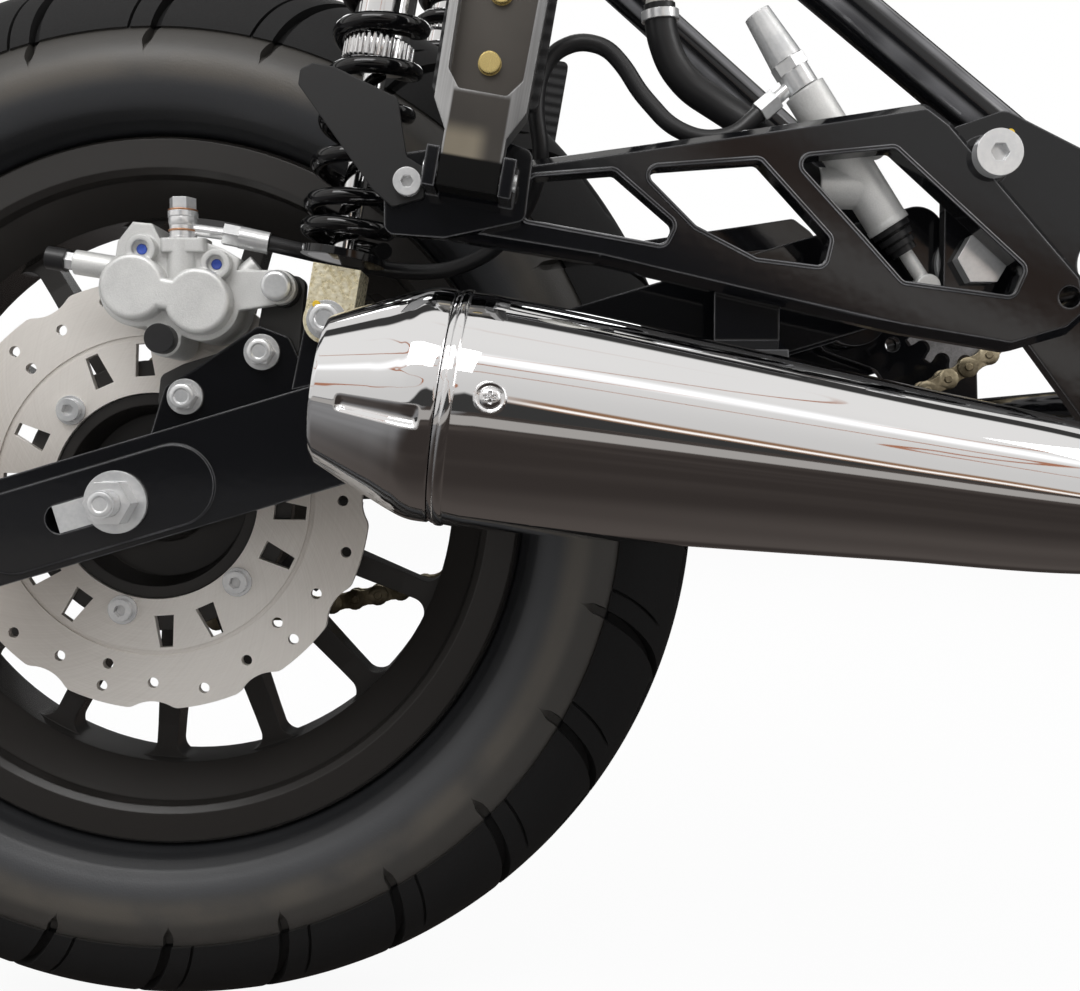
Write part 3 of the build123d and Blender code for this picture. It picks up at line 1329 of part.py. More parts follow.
master.part.label = "master_cylinder"
export_step(master.part, "parts/master_cylinder.step")

BOOT_RINGS = ((0.0, 9.6), (4.5, 8.6), (8.5, 7.6), (12.0, 6.4))
BLEED_DIR = (BLEED_END - BLEED).normalized()
with BuildPart() as boots:
    for up, ring_r in BOOT_RINGS:
        ring_start = MASTER_LOW - MASTER_DIR * up
        with BuildSketch(along(ring_start, ring_start - MASTER_DIR)):
            Circle(ring_r)
        extrude(amount=3)
    with BuildSketch(along(MASTER_LOW, MASTER_LOW - MASTER_DIR)):
        Circle(6.4)
    extrude(amount=15)
    with BuildSketch(along(BLEED_END + BLEED_DIR * 5, BLEED_END + BLEED_DIR * 8)):
        Circle(6)
    extrude(amount=10)
    add(master.part, mode=Mode.SUBTRACT)
    with BuildSketch(side(CALIPER_FACE)):
        with Locations(PLUG):
            Circle(7.7)
    extrude(amount=8)
    with BuildSketch(side(-(BRACKET_OUT + SEAT_GAP))):
        with Locations(CALIPER_PIN):
            Circle(9.5)
            Circle(CALIPER_PIN_R + RUNNING_GAP, mode=Mode.SUBTRACT)
    extrude(amount=-(CALIPER_FACE + 6) - BRACKET_OUT - SEAT_GAP)
boots.part.label = "rubber_boots"
export_step(boots.part, "parts/rubber_boots.step")

# Brake fluid reservoir: a plain pot with a screwed lid, whose lug rests on the stay tube
RESERVOIR_X = 272.0
RESERVOIR_Y = -120.0
LUG_X = 330.0
stay_slope = (STAY_TOP[1] - STAY_LOW[1]) / (STAY_LOW[0] - STAY_TOP[0])
lug_z = STAY_LOW[1] + (STAY_LOW[0] - LUG_X) * stay_slope
with BuildPart() as reservoir:
    with BuildSketch(Plane(at(RESERVOIR_X, RESERVOIR_Y, 262))):
        Circle(17)
    extrude(amount=38)
    with BuildSketch(Plane(at(RESERVOIR_X, RESERVOIR_Y, 300))):
        Circle(18)
    extrude(amount=6)
    with BuildSketch(Plane(at(275.3, -118, 250))):
        Circle(RESERVOIR_HOSE_R - 1)
    extrude(amount=12)
    add(reservoir_hose.part, mode=Mode.SUBTRACT)
    with BuildSketch(side(-118.5)):
        Polygon((284, 281), (LUG_X, lug_z - 8.5), (LUG_X, lug_z + 1.5), (284, 296), align=None)
    extrude(amount=3)
    add(stays.part, mode=Mode.SUBTRACT)
reservoir.part.label = "brake_reservoir"
export_step(reservoir.part, "parts/brake_reservoir.step")

print("pins", len(PINS), "centre distance", round(centre_distance, 2))
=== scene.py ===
# %% [markdown]
# # The rear end of a cafe racer, from its CAD pieces to a picture
# The object is the back of a motorcycle: a treaded tyre on a cast wheel, the swing arm, the brake, a
# chrome silencer and the black castings round them. The CAD pieces arrive already in place. This lesson
# gives each of them a finish worked out from nodes, and models again in numpy those pieces whose look
# depends on fine form.

import json
from math import cos, hypot, pi, radians, sin

import bmesh
import bpy
import numpy as np
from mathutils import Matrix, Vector


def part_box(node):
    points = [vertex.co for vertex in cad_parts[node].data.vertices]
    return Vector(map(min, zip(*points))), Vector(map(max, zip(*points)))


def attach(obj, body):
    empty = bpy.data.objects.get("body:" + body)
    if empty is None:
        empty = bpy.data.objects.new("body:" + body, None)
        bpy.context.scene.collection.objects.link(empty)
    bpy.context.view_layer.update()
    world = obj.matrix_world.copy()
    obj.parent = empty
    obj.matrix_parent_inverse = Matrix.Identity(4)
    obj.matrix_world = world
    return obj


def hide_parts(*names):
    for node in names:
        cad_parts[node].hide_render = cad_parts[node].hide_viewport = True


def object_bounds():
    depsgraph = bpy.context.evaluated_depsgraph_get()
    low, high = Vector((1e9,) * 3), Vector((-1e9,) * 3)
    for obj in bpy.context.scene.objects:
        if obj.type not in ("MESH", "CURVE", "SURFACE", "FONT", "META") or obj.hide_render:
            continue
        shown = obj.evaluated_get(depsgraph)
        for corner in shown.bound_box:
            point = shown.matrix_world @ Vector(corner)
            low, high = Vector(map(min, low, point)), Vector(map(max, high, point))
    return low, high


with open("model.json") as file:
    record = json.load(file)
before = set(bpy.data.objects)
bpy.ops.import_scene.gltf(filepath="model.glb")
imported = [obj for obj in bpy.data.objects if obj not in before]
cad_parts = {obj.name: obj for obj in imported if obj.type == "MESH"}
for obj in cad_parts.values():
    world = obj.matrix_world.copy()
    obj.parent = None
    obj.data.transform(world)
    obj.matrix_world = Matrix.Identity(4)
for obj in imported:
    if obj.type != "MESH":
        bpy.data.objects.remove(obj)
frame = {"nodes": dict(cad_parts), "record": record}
CAD_BOX = [list(corner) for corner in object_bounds()]
scene = bpy.context.scene

# %% [markdown]
# Lengths in this file are written in millimetres from the wheel's axle, as on a workshop drawing: x
# forwards, y to the machine's left and z up. The frame has its origin elsewhere and counts in metres, so
# one helper does the change for whole arrays of points.

# %% Place points on the machine
MM = 0.001
AXLE = np.array([-510.0, 0.0, -45.0])


def on_machine(points):
    """Millimetres from the axle to metres in the frame: (point + axle) / 1000."""
    return (np.asarray(points, float) + AXLE) * MM


print("axle at", on_machine([0, 0, 0]))

# %% [markdown]
# ## Shader maths written as arithmetic
# A material is a graph of nodes. Placing and linking each node by hand takes four lines for one sum, and
# the sum is lost among them. A small class round an output socket lets the sums be written as sums, with
# one method that makes any other kind of node.

# %% A wire between nodes
class Wire:
    """An output socket of a material or world, on which + - and * make maths nodes."""

    def __init__(self, tree, socket):
        self.tree = tree
        self.socket = socket

    def node(self, kind, settings, feeds, out=0):
        """Any other node: its type, its settings, then a value or wire for each socket."""
        made = self.tree.nodes.new(kind)
        for name, value in settings.items():
            setattr(made, name, value)
        for name, value in feeds.items():
            feed(made.inputs[name], value)
        return Wire(self.tree, made.outputs[out])

    def maths(self, operation, *values):
        """A maths node on those values, on vectors where one of them is a vector."""
        sockets = [value.socket.type for value in values if isinstance(value, Wire)]
        vectors = "VECTOR" in sockets or any(isinstance(value, tuple) for value in values)
        kind = "ShaderNodeVectorMath" if vectors else "ShaderNodeMath"
        if vectors:
            values = [(value,) * 3 if isinstance(value, (int, float)) else value for value in values]
        out = 1 if operation in ("LENGTH", "DOT_PRODUCT") else 0
        return self.node(kind, {"operation": operation}, dict(enumerate(values)), out)

    def __add__(self, other):
        return self.maths("ADD", self, other)

    def __radd__(self, other):
        return self.maths("ADD", other, self)

    def __sub__(self, other):
        return self.maths("SUBTRACT", self, other)

    def __rsub__(self, other):
        return self.maths("SUBTRACT", other, self)

    def __mul__(self, other):
        return self.maths("MULTIPLY", self, other)

    def __rmul__(self, other):
        return self.maths("MULTIPLY", other, self)

    def __neg__(self):
        return self.maths("MULTIPLY", self, -1.0)

    def ramp(self, low, high):
        """0 below low, 1 above high and a smooth step between. With low above high it falls instead."""
        feeds = {"Value": self, "From Min": low, "From Max": high}
        return self.node("ShaderNodeMapRange", {"interpolation_type": "SMOOTHSTEP"}, feeds)

    def band(self, rise, fall):
        """1 between a rise and a fall, each given as where it is 0 and where it is 1."""
        return self.ramp(*rise) * self.ramp(*fall)

    def mix(self, first, second):
        """The first colour where this wire is 0 and the second where it is 1."""
        return self.node("ShaderNodeMix", {"data_type": "RGBA"}, {0: self, 6: first, 7: second}, 2)

    def between(self, first, second):
        """The first number where this wire is 0 and the second where it is 1."""
        return self.node("ShaderNodeMix", {"data_type": "FLOAT"}, {0: self, 2: first, 3: second}, 0)

    def noise(self, scale, detail=3.0, stretch=None):
        """A cloud of numbers from 0 to 1 on this wire's coordinates, of that many blobs a metre."""
        place = self if stretch is None else self * stretch
        return self.node("ShaderNodeTexNoise", {}, {"Vector": place, "Scale": scale, "Detail": detail})


def feed(socket, value):
    """Links a wire to a socket, or sets the socket's own value."""
    if isinstance(value, Wire):
        value.tree.links.new(value.socket, socket)
    elif socket.type == "RGBA" and len(value) == 3:
        socket.default_value = (*value, 1.0)
    else:
        socket.default_value = value


print("wires are ready")

# %% [markdown]
# Each finish starts from the same shader. What is the same all over the surface, such as how metallic it
# is, goes straight on the shader's sockets. What varies comes in by wires that start at the piece's own
# coordinates, so a pattern keeps its place when the wheel turns.

# %% Start a finish
def new_finish(name, constants):
    """A material, its shader, and the wire of the piece's own coordinates in metres."""
    material = bpy.data.materials.new(name)
    material.use_nodes = True
    tree = material.node_tree
    shader = tree.nodes["Principled BSDF"]
    for socket, value in constants.items():
        feed(shader.inputs[socket], value)
    return material, shader, Wire(tree, tree.nodes.new("ShaderNodeTexCoord").outputs["Object"])


def relief(shader, place, height, depth, edge=0.0):
    """Height from 0 to 1 stands that many metres proud, and edges look rounded to the radius edge."""
    feeds = {"Height": height, "Distance": depth}
    if edge:
        feeds["Normal"] = place.node("ShaderNodeBevel", {"samples": 4}, {"Radius": edge}, "Normal")
    feed(shader.inputs["Normal"], place.node("ShaderNodeBump", {}, feeds, "Normal"))


def parts_of(place, vector, axes="XYZ"):
    """The wires of a vector's parts, by their letters."""
    return {axis: place.node("ShaderNodeSeparateXYZ", {}, {"Vector": vector}, axis) for axis in axes}


def joined(place, x, y, z):
    """The wire of a vector from its three parts."""
    return place.node("ShaderNodeCombineXYZ", {}, {"X": x, "Y": y, "Z": z})


FINISHES = {}
print("finishes start from one shader")

# %% [markdown]
# ## Rubber
# A tyre's sidewall is smooth where the mould was polished and dull on the tread. The wall's paler bands
# are painted sheen, light on the smooth rubber: blue-grey above the bead, a warm grey band higher up and
# a lighter grey towards the tread. Three separate materials would show a seam, so one material picks its
# zone by the distance from the axle. Zones are given by the radius in metres where they start.

# %% Tyre rubber
WALL_FROM = 0.212
PAINTED_SHEEN_FROM = 0.226
UPPER_WALL_FROM = 0.241
TREAD_FROM = 0.2612
BEAD_COLOUR = (0.012, 0.0125, 0.014)
WALL_COLOUR = (0.036, 0.0375, 0.041)
PAINTED_SHEEN_COLOUR = (0.082, 0.073, 0.062)
UPPER_WALL_COLOUR = (0.042, 0.0395, 0.0365)
TREAD_COLOUR = (0.0035, 0.0035, 0.004)
material, shader, place = new_finish("tyre_rubber", {"Specular IOR Level": 0.5})
from_axle = place - tuple(on_machine([0, 0, 0]))
radius = place.maths("LENGTH", from_axle * (1.0, 0.0, 1.0))
cloud = place.noise(26.0, 4.0)
fine = place.noise(900.0, 2.0)
shoulder = radius.ramp(TREAD_FROM, TREAD_FROM + 0.001)
# Painted sheen: the warm grey band and the paler wall tones stand in for light on the smooth wall
painted_sheen = radius.ramp(PAINTED_SHEEN_FROM, PAINTED_SHEEN_FROM + 0.011) * cloud.ramp(0.05, 0.6)
upper = radius.ramp(UPPER_WALL_FROM, UPPER_WALL_FROM + 0.008) * (0.6 + 0.4 * cloud)
wall = radius.ramp(WALL_FROM, WALL_FROM + 0.01).mix(BEAD_COLOUR, WALL_COLOUR)
wall = painted_sheen.mix(wall, PAINTED_SHEEN_COLOUR)
wall = upper.mix(wall, UPPER_WALL_COLOUR)
feed(shader.inputs["Base Color"], shoulder.mix(wall, TREAD_COLOUR))
feed(shader.inputs["Roughness"], shoulder.between(0.38 + 0.12 * cloud, 0.74 + 0.1 * fine))
relief(shader, place, fine * 0.6 + cloud * 0.4, depth=0.00012)
FINISHES["tyre_rubber"] = material
print("rubber: polished wall with a warm bloom, and a dull tread")

# %% [markdown]
# Hoses and boots are plain black rubber, a little shinier where hands have rubbed them. The fluid pot is
# milky plastic. Both need no more than a cloud of two near shades and a slight unevenness of gloss.

# %% Hoses and the fluid pot
material, shader, place = new_finish("hose_rubber", {"Specular IOR Level": 0.5})
cloud = place.noise(60.0, 3.0)
feed(shader.inputs["Base Color"], cloud.mix((0.009, 0.009, 0.01), (0.016, 0.016, 0.017)))
feed(shader.inputs["Roughness"], 0.3 + 0.14 * cloud)
relief(shader, place, place.noise(1200.0, 2.0), depth=0.00003, edge=0.0006)
FINISHES["hose_rubber"] = material
material, shader, place = new_finish("fluid_white", {"Specular IOR Level": 0.5})
cloud = place.noise(30.0, 2.0)
feed(shader.inputs["Base Color"], cloud.mix((0.66, 0.64, 0.58), (0.74, 0.73, 0.68)))
feed(shader.inputs["Roughness"], 0.3 + 0.1 * cloud)
relief(shader, place, cloud, depth=0.00005, edge=0.0008)
FINISHES["fluid_white"] = material
print("hose rubber and the fluid pot's plastic")

# %% [markdown]
# ## Black paints
# Gloss enamel covers the frame and castings, a thinner semi-gloss the wheel, and satin the pressed
# guards. They share one recipe with a few numbers. Spraying leaves a faint orange peel, and corners look
# rounded by the coat's thickness. On the gloss pieces a thin line along each rounding is painted paler, a
# painted highlight where the rounding turns away from the side. A mask painted by hand would have to be
# painted again after every change of shape, so the line is found from the rounded normal of a Bevel node.

# %% Painted finishes
def painted(name, colour, gloss, peel, edge, dusty=0.0, painted_highlight=0.0):
    """Enamel of that colour. gloss is its roughness, peel the depth of its orange peel and edge the
    radius of its corners. The last argument is the shade of a painted highlight, a thin paler line
    where a rounding turns away from the side."""
    material, shader, place = new_finish(name, {"Specular IOR Level": 0.5})
    cloud = place.noise(14.0, 3.0)
    grime = cloud.ramp(0.5, 0.85) * dusty
    pale = tuple(part + 0.05 for part in colour)
    painted_colour = grime.mix(colour, pale)
    # Painted highlight: a thin paler line of colour where a rounding turns away from the side
    if painted_highlight:
        rounded = place.node("ShaderNodeBevel", {"samples": 6}, {"Radius": edge * 0.75}, "Normal")
        sideways = place.maths("ABSOLUTE", place.maths("DOT_PRODUCT", rounded, (0.0, 1.0, 0.0)))
        line = sideways.band((0.6, 0.75), (0.97, 0.88))
        line = line * (0.35 + 0.65 * place.noise(22.0, 2.0).ramp(0.3, 0.6))
        painted_colour = line.mix(painted_colour, (painted_highlight, painted_highlight, painted_highlight * 1.05))
    feed(shader.inputs["Base Color"], painted_colour)
    feed(shader.inputs["Roughness"], gloss + cloud * 0.05 + grime * 0.2)
    relief(shader, place, place.noise(150.0, 1.0), peel, edge)
    FINISHES[name] = material


painted("gloss_black", (0.0055, 0.0057, 0.0068), gloss=0.06, peel=0.00002, edge=0.0016, painted_highlight=0.2)
painted("wheel_black", (0.022, 0.02, 0.0185), gloss=0.24, peel=0.00003, edge=0.0012)
painted("spring_black", (0.0035, 0.0035, 0.004), gloss=0.05, peel=0.00001, edge=0.0004)
painted("satin_black", (0.009, 0.009, 0.0095), gloss=0.36, peel=0.00003, edge=0.0008)
painted("bracket_grey", (0.035, 0.034, 0.033), gloss=0.4, peel=0.0002, edge=0.0008, dusty=0.2)
print("painted finishes:", [name for name in FINISHES if "black" in name])

# %% [markdown]
# ## Bare and plated metals
# The brake disc is ground on a turning table, which leaves arcs swept across it. Two bright wedges, where
# the light runs along the arcs, are painted into the colour as painted highlights. A noise on plain
# coordinates would give blots, so the noise is read on the radius and the angle.

# %% Ground disc
TURNED_LINES = 2200.0
GROUND_ARCS = 1500.0
WEDGE_TURN = 4.4
WEDGE_TWIST = 6.0
material, shader, place = new_finish("disc_steel", {"Metallic": 0.5})
from_axle = place - tuple(on_machine([0, 0, 0]))
parts = parts_of(place, from_axle, "XZ")
radius = place.maths("LENGTH", from_axle * (1.0, 0.0, 1.0))
around = place.maths("ARCTAN2", parts["Z"], parts["X"])
turning = joined(place, radius, around * 0.002, 0.0).noise(TURNED_LINES, 2.0)
hatch = joined(place, radius * 0.35 + around * 0.03, 0.0, 0.0).noise(GROUND_ARCS, 2.0)
# Painted highlight: two bright wedges of reflected light, painted into the colour and fixed on the disc
painted_highlight_wedges = place.maths("COSINE", around * 2.0 - WEDGE_TURN + radius * WEDGE_TWIST) * 0.5 + 0.5
stain = place.noise(24.0, 3.0)
bright = turning * 0.2 + hatch * 0.25 + painted_highlight_wedges * 0.45 + stain * 0.1
feed(shader.inputs["Base Color"], bright.ramp(0.15, 0.85).mix((0.58, 0.53, 0.48), (0.9, 0.86, 0.81)))
feed(shader.inputs["Roughness"], 0.34 + turning * 0.1)
relief(shader, place, turning * 0.5 + hatch * 0.5, depth=0.00002, edge=0.0003)
FINISHES["disc_steel"] = material
print("disc: turned lines every", round(1 / TURNED_LINES / MM, 2), "mm")

# %% [markdown]
# Bolts are bright zinc with a slight blue cast. The calliper is cast aluminium blasted with fine grit, so
# its grain is even and its edges are soft. The shock's foot is hammered and plated pale gold. One
# function makes them all: a cloud between two shades, and a grain that stands a little proud.

# %% Other metals
def metal(name, dark, light, rough, grain, depth, edge, spread=30.0, metallic=1.0):
    """Metal between two shades. grain is how many blobs a metre stand depth metres proud."""
    material, shader, place = new_finish(name, {"Metallic": metallic})
    cloud = place.noise(spread, 3.0)
    fine = place.noise(grain, 2.0)
    shade = (cloud * 0.7 + fine * 0.3).ramp(0.3, 0.7)
    feed(shader.inputs["Base Color"], shade.mix(dark, light))
    feed(shader.inputs["Roughness"], rough + cloud * 0.08 + fine * 0.04)
    relief(shader, place, fine, depth, edge)
    FINISHES[name] = material


metal("bolt_steel", (0.7, 0.71, 0.72), (0.88, 0.88, 0.88),
      rough=0.16, grain=500.0, depth=0.000012, edge=0.0005, spread=60.0, metallic=0.6)
metal("cast_alloy", (0.62, 0.62, 0.61), (0.78, 0.78, 0.765),
      rough=0.38, grain=1500.0, depth=0.00009, edge=0.0016, spread=40.0, metallic=0.5)
metal("sprocket_steel", (0.16, 0.16, 0.165), (0.36, 0.36, 0.37),
      rough=0.36, grain=900.0, depth=0.00003, edge=0.0005)
metal("chain_steel", (0.2, 0.17, 0.11), (0.46, 0.4, 0.28),
      rough=0.34, grain=500.0, depth=0.00003, edge=0.0004, spread=90.0)
metal("gold_zinc", (0.7, 0.6, 0.36), (1.0, 0.93, 0.72),
      rough=0.22, grain=380.0, depth=0.0003, edge=0.0008, spread=420.0, metallic=0.5)
metal("copper", (0.5, 0.24, 0.12), (0.66, 0.34, 0.19),
      rough=0.25, grain=500.0, depth=0.00002, edge=0.0003, spread=60.0, metallic=0.8)
print("finishes so far:", list(FINISHES))

# %% [markdown]
# Two small dabs aren't metal at all, blue locking paste and yellow marking paint, but the same cloud and
# grain suit them once the metal is turned off.

# %% Dabs of paste and paint
metal("thread_lock", (0.02, 0.05, 0.3), (0.05, 0.12, 0.55),
      rough=0.3, grain=900.0, depth=0.00005, edge=0.0003, spread=60.0, metallic=0.0)
metal("paint_mark", (0.72, 0.46, 0.02), (0.85, 0.58, 0.04),
      rough=0.4, grain=600.0, depth=0.00005, edge=0.0003, spread=60.0, metallic=0.0)
print(len(FINISHES), "finishes so far")

# %% [markdown]
# ## Chrome
# Chrome has hardly a colour of its own, so its look is the room that it reflects. The damper is chrome
# too, but its spring seats are black and belong to the same CAD piece. A wire of the distance from the
# damper's line parts them.

# %% Where the shock absorbers stand
SHOCK_LOW = (108.9, 91.0)
SHOCK_TOP = (168.0, 416.0)
SHOCK_Y = 120.0
SHOCK_L = hypot(SHOCK_TOP[0] - SHOCK_LOW[0], SHOCK_TOP[1] - SHOCK_LOW[1])
SHOCK_DIR = ((SHOCK_TOP[0] - SHOCK_LOW[0]) / SHOCK_L, 0.0, (SHOCK_TOP[1] - SHOCK_LOW[1]) / SHOCK_L)
print("shock absorbers", round(SHOCK_L, 1), "mm between their eyes")


# %% Chrome
def chrome(name, black_beyond=None):
    """Bright plating. With black_beyond, what lies further than that from the damper's line is black."""
    material, shader, place = new_finish(name, {})
    film = place.noise(5.0, 2.0)
    tint = film.mix((0.78, 0.78, 0.79), (0.84, 0.84, 0.845))
    feed(shader.inputs["Roughness"], 0.012 + film * 0.02)
    if black_beyond is None:
        feed(shader.inputs["Metallic"], 1.0)
        feed(shader.inputs["Base Color"], tint)
    else:
        split = parts_of(place, place)
        foot = on_machine([SHOCK_LOW[0], 0.0, SHOCK_LOW[1]])
        aside = place.maths("ABSOLUTE", split["Y"]) - SHOCK_Y * MM
        lean_x = split["X"] - float(foot[0])
        lean_z = split["Z"] - float(foot[2])
        off_line = lean_x * SHOCK_DIR[2] - lean_z * SHOCK_DIR[0]
        distance = place.maths("SQRT", off_line * off_line + aside * aside)
        wide = distance.ramp(black_beyond, black_beyond + 0.0004)
        feed(shader.inputs["Metallic"], 1.0 - wide)
        feed(shader.inputs["Base Color"], wide.mix(tint, (0.004, 0.004, 0.0045)))
    relief(shader, place, film, depth=0.000001, edge=0.0006)
    return material


SEAT_FROM = 0.0175
FINISHES["chrome"] = chrome("chrome")
damper_chrome = chrome("damper_chrome", SEAT_FROM)
print("chrome, and chrome with black spring seats")

# %% [markdown]
# The footrest is one casting with several looks: drawn alloy, a dark channel with two yellow screws, a
# worn spot at its lower end, and a rubber pad on its other face. Cutting the mesh up would show seams.
# Each look is a mask instead, on the footrest's own axes: along it and across it from its pin, and out
# from the machine's middle, all in metres.

# %% The footrest's own axes
PEG = on_machine([183.0, 181.0, 152.0])
PEG_LEAN = radians(10.0)
PAD_Y = 0.1732
CHANNEL_Y = 0.1783
SCREW_Y = 0.1821
CHANNEL_LOW = 0.036
SCREWS_UP = (0.052, 0.084)
SCREW_R = 0.0054
NECK_HALF = 0.013
RIB_WAVES = 900.0
material, shader, place = new_finish("peg_alloy", {})
split = parts_of(place, place)
from_x = split["X"] - float(PEG[0])
from_z = split["Z"] - float(PEG[2])
across_peg = from_x * cos(PEG_LEAN) - from_z * sin(PEG_LEAN)
up_peg = from_x * sin(PEG_LEAN) + from_z * cos(PEG_LEAN)
out = place.maths("ABSOLUTE", split["Y"])
cloud = place.noise(26.0, 3.0)
drawn = joined(place, across_peg, out, up_peg * 0.02).noise(900.0, 2.0)
print("the footrest's pin is at", PEG)

# %% Footrest masks
pad = out.ramp(PAD_Y + 0.0001, PAD_Y - 0.0001)
channel = out.ramp(CHANNEL_Y + 0.0001, CHANNEL_Y - 0.0001) * up_peg.ramp(CHANNEL_LOW, CHANNEL_LOW + 0.0002)
from_screws = [place.maths("ABSOLUTE", up_peg - height) for height in SCREWS_UP]
to_screw = place.maths("MINIMUM", *from_screws)
screw_distance = place.maths("SQRT", across_peg * across_peg + to_screw * to_screw)
screw = screw_distance.ramp(SCREW_R + 0.0001, SCREW_R - 0.0001)
screw = screw * out.ramp(SCREW_Y + 0.0001, SCREW_Y - 0.0001)
neck = place.maths("ABSOLUTE", across_peg).ramp(NECK_HALF + 0.0005, NECK_HALF - 0.0005)
neck = neck * up_peg.ramp(CHANNEL_LOW + 0.001, CHANNEL_LOW - 0.002)
worn = neck * (up_peg.ramp(0.023, 0.014) * across_peg.ramp(0.008, -0.001))
foot = up_peg.ramp(0.0072, 0.0055)
print("masks: pad, channel, screws, neck, worn spot and foot")

# %% Footrest alloy
# Painted light and shade: one flange is painted lighter and the other darker, as the lamps fall on them
shade = across_peg.ramp(-0.012, 0.012).mix((0.5, 0.5, 0.5), (0.17, 0.17, 0.17))
body = (cloud * 0.5 + drawn * 0.5).ramp(0.2, 0.8).mix(shade, (0.3, 0.3, 0.3))
body = neck.mix(body, cloud.mix((0.05, 0.046, 0.042), (0.09, 0.083, 0.075)))
body = worn.mix(body, cloud.mix((0.2, 0.175, 0.13), (0.36, 0.32, 0.25)))
body = foot.mix(body, (0.006, 0.006, 0.006))
body = channel.mix(body, cloud.mix((0.06, 0.054, 0.048), (0.1, 0.092, 0.083)))
body = screw.mix(body, cloud.mix((0.5, 0.38, 0.14), (0.7, 0.56, 0.24)))
feed(shader.inputs["Base Color"], pad.mix(body, (0.012, 0.012, 0.013)))
feed(shader.inputs["Metallic"], 0.75 - pad * 0.75)
feed(shader.inputs["Roughness"], (0.3 + drawn * 0.08 - screw * 0.08) + pad * 0.25)
ribs = place.maths("SINE", up_peg * RIB_WAVES) * 0.5 + 0.5
relief(shader, place, drawn * 0.05 + ribs * pad, depth=0.0006, edge=0.001)
FINISHES["peg_alloy"] = material
print("footrest: drawn alloy, dark channel, yellow screws, ribbed pad")

# %% [markdown]
# The CAD nodes keep their own meshes. Each takes the finish that the record's slot names, so no piece is
# left with a flat colour.

# %% Dress the CAD nodes
SLOT_OF = {row["node"]: row["material_slot"] for row in frame["record"]["subparts"]}
for node, thing in frame["nodes"].items():
    thing.data.materials.clear()
    thing.data.materials.append(damper_chrome if node == "shock_dampers" else FINISHES[SLOT_OF[node]])
print("dressed", len(SLOT_OF), "nodes with", len(set(SLOT_OF.values())), "finishes")

# %% [markdown]
# A mould or a press leaves no sharp corner. Remodelling the big black pieces would risk their fit, so
# they keep their CAD meshes, and a bevel on top gives their edges a real radius.

# %% Round the big pieces' edges
SHARP_FROM = radians(42)
ROUNDINGS = {"hanger_right": 2.2, "hanger_left": 2.2, "swing_arm_right": 1.6, "swing_arm_left": 1.6}
for node, width in ROUNDINGS.items():
    thing = frame["nodes"][node]
    weld = thing.modifiers.new("weld", "WELD")
    weld.merge_threshold = 0.00001
    rounding = thing.modifiers.new("rounding", "BEVEL")
    rounding.width = width * MM
    rounding.segments = 3
    rounding.limit_method = "ANGLE"
    rounding.angle_limit = SHARP_FROM
    rounding.harden_normals = True
print("rounded", len(ROUNDINGS), "pieces")

# %% [markdown]
# ## Surfaces from numpy
# A new piece is one or more shells. Each shell is a grid of points: rows go along a profile and columns
# go round it. The grid's four neighbours make a face. Rows that end in one point close there once doubles
# are merged. Modelling such forms by hand would be slow and uneven, and here whole arrays are worked out
# at once.

# %% Shells and pieces
def grid_faces(rows, columns, close_rows=False):
    """Four neighbours of a grid make a face. Columns always close; rows close where asked."""
    number = np.arange(rows * columns).reshape(rows, columns)
    number = np.concatenate([number, number[:, :1]], 1)
    if close_rows:
        number = np.concatenate([number, number[:1]], 0)
    corners = [number[:-1, :-1], number[:-1, 1:], number[1:, 1:], number[1:, :-1]]
    return np.stack(corners, -1).reshape(-1, 4)


def many(grids):
    """One shell from a stack of equal grids of points in mm: its axes are copy, row, column and x y z."""
    copies, rows, columns, _ = grids.shape
    starts = np.arange(copies)[:, None, None] * rows * columns
    faces = (grid_faces(rows, columns)[None] + starts).reshape(-1, 4)
    return on_machine(grids).reshape(-1, 3), faces


def piece(name, shells, slot, body, nodes=(), sharp=32.0):
    """One object from shells (points in frame metres, faces), in a finish, on a body, for CAD nodes."""
    starts = np.cumsum([0] + [len(points) for points, _ in shells])
    points = np.concatenate([points for points, _ in shells])
    faces = np.concatenate([faces + start for (_, faces), start in zip(shells, starts)])
    mesh = bpy.data.meshes.new(name)
    mesh.from_pydata(points.tolist(), [], faces.tolist())
    work = bmesh.new()
    work.from_mesh(mesh)
    bmesh.ops.remove_doubles(work, verts=work.verts, dist=0.000002)
    bmesh.ops.recalc_face_normals(work, faces=work.faces)
    work.to_mesh(mesh)
    work.free()
    mesh.polygons.foreach_set("use_smooth", np.ones(len(mesh.polygons), bool))
    mesh.set_sharp_from_angle(angle=radians(sharp))
    mesh.materials.append(FINISHES[slot])
    thing = bpy.data.objects.new(name, mesh)
    scene.collection.objects.link(thing)
    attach(thing, body)
    if nodes:
        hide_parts(*nodes)
    return thing


def triangles(thing):
    """How many triangles a piece has."""
    thing.data.calc_loop_triangles()
    return len(thing.data.loop_triangles)


print("a shell is a grid of points and its faces")

# %% [markdown]
# ## The tyre
# The CAD tyre is smooth. The real one has 24 slanting grooves on each shoulder, which start on the
# sidewall and bend as they run to the crown, with a thin cut beside each and a short channel along the
# crown. A bump texture would leave the outline smooth, and cutting the grooves out would leave ragged
# shading. One grid holds them instead: the row is how far along the section and the column is how far
# round. The columns bend with the grooves and crowd at their edges, so every groove has clean walls.

# %% Tyre section
CROWN_R = 56.0
CROWN_TOP = 307.5
CROWN_SPAN = radians(79.2)
TREAD_EDGE = (55.0, 262.0)
WALL_POINTS = ((53.6, 261.4), (65.0, 238.0), (46.0, 208.0))
TOE = ((44, 206.5), (40.5, 205.3), (37.8, 205.2), (37.8, 191.2), (30, 191.1), (33, 205), (40, 214))
INSIDE = ((52, 226), (54.6, 240), (51, 256), (40, 277), (24, 291), (0, 297))


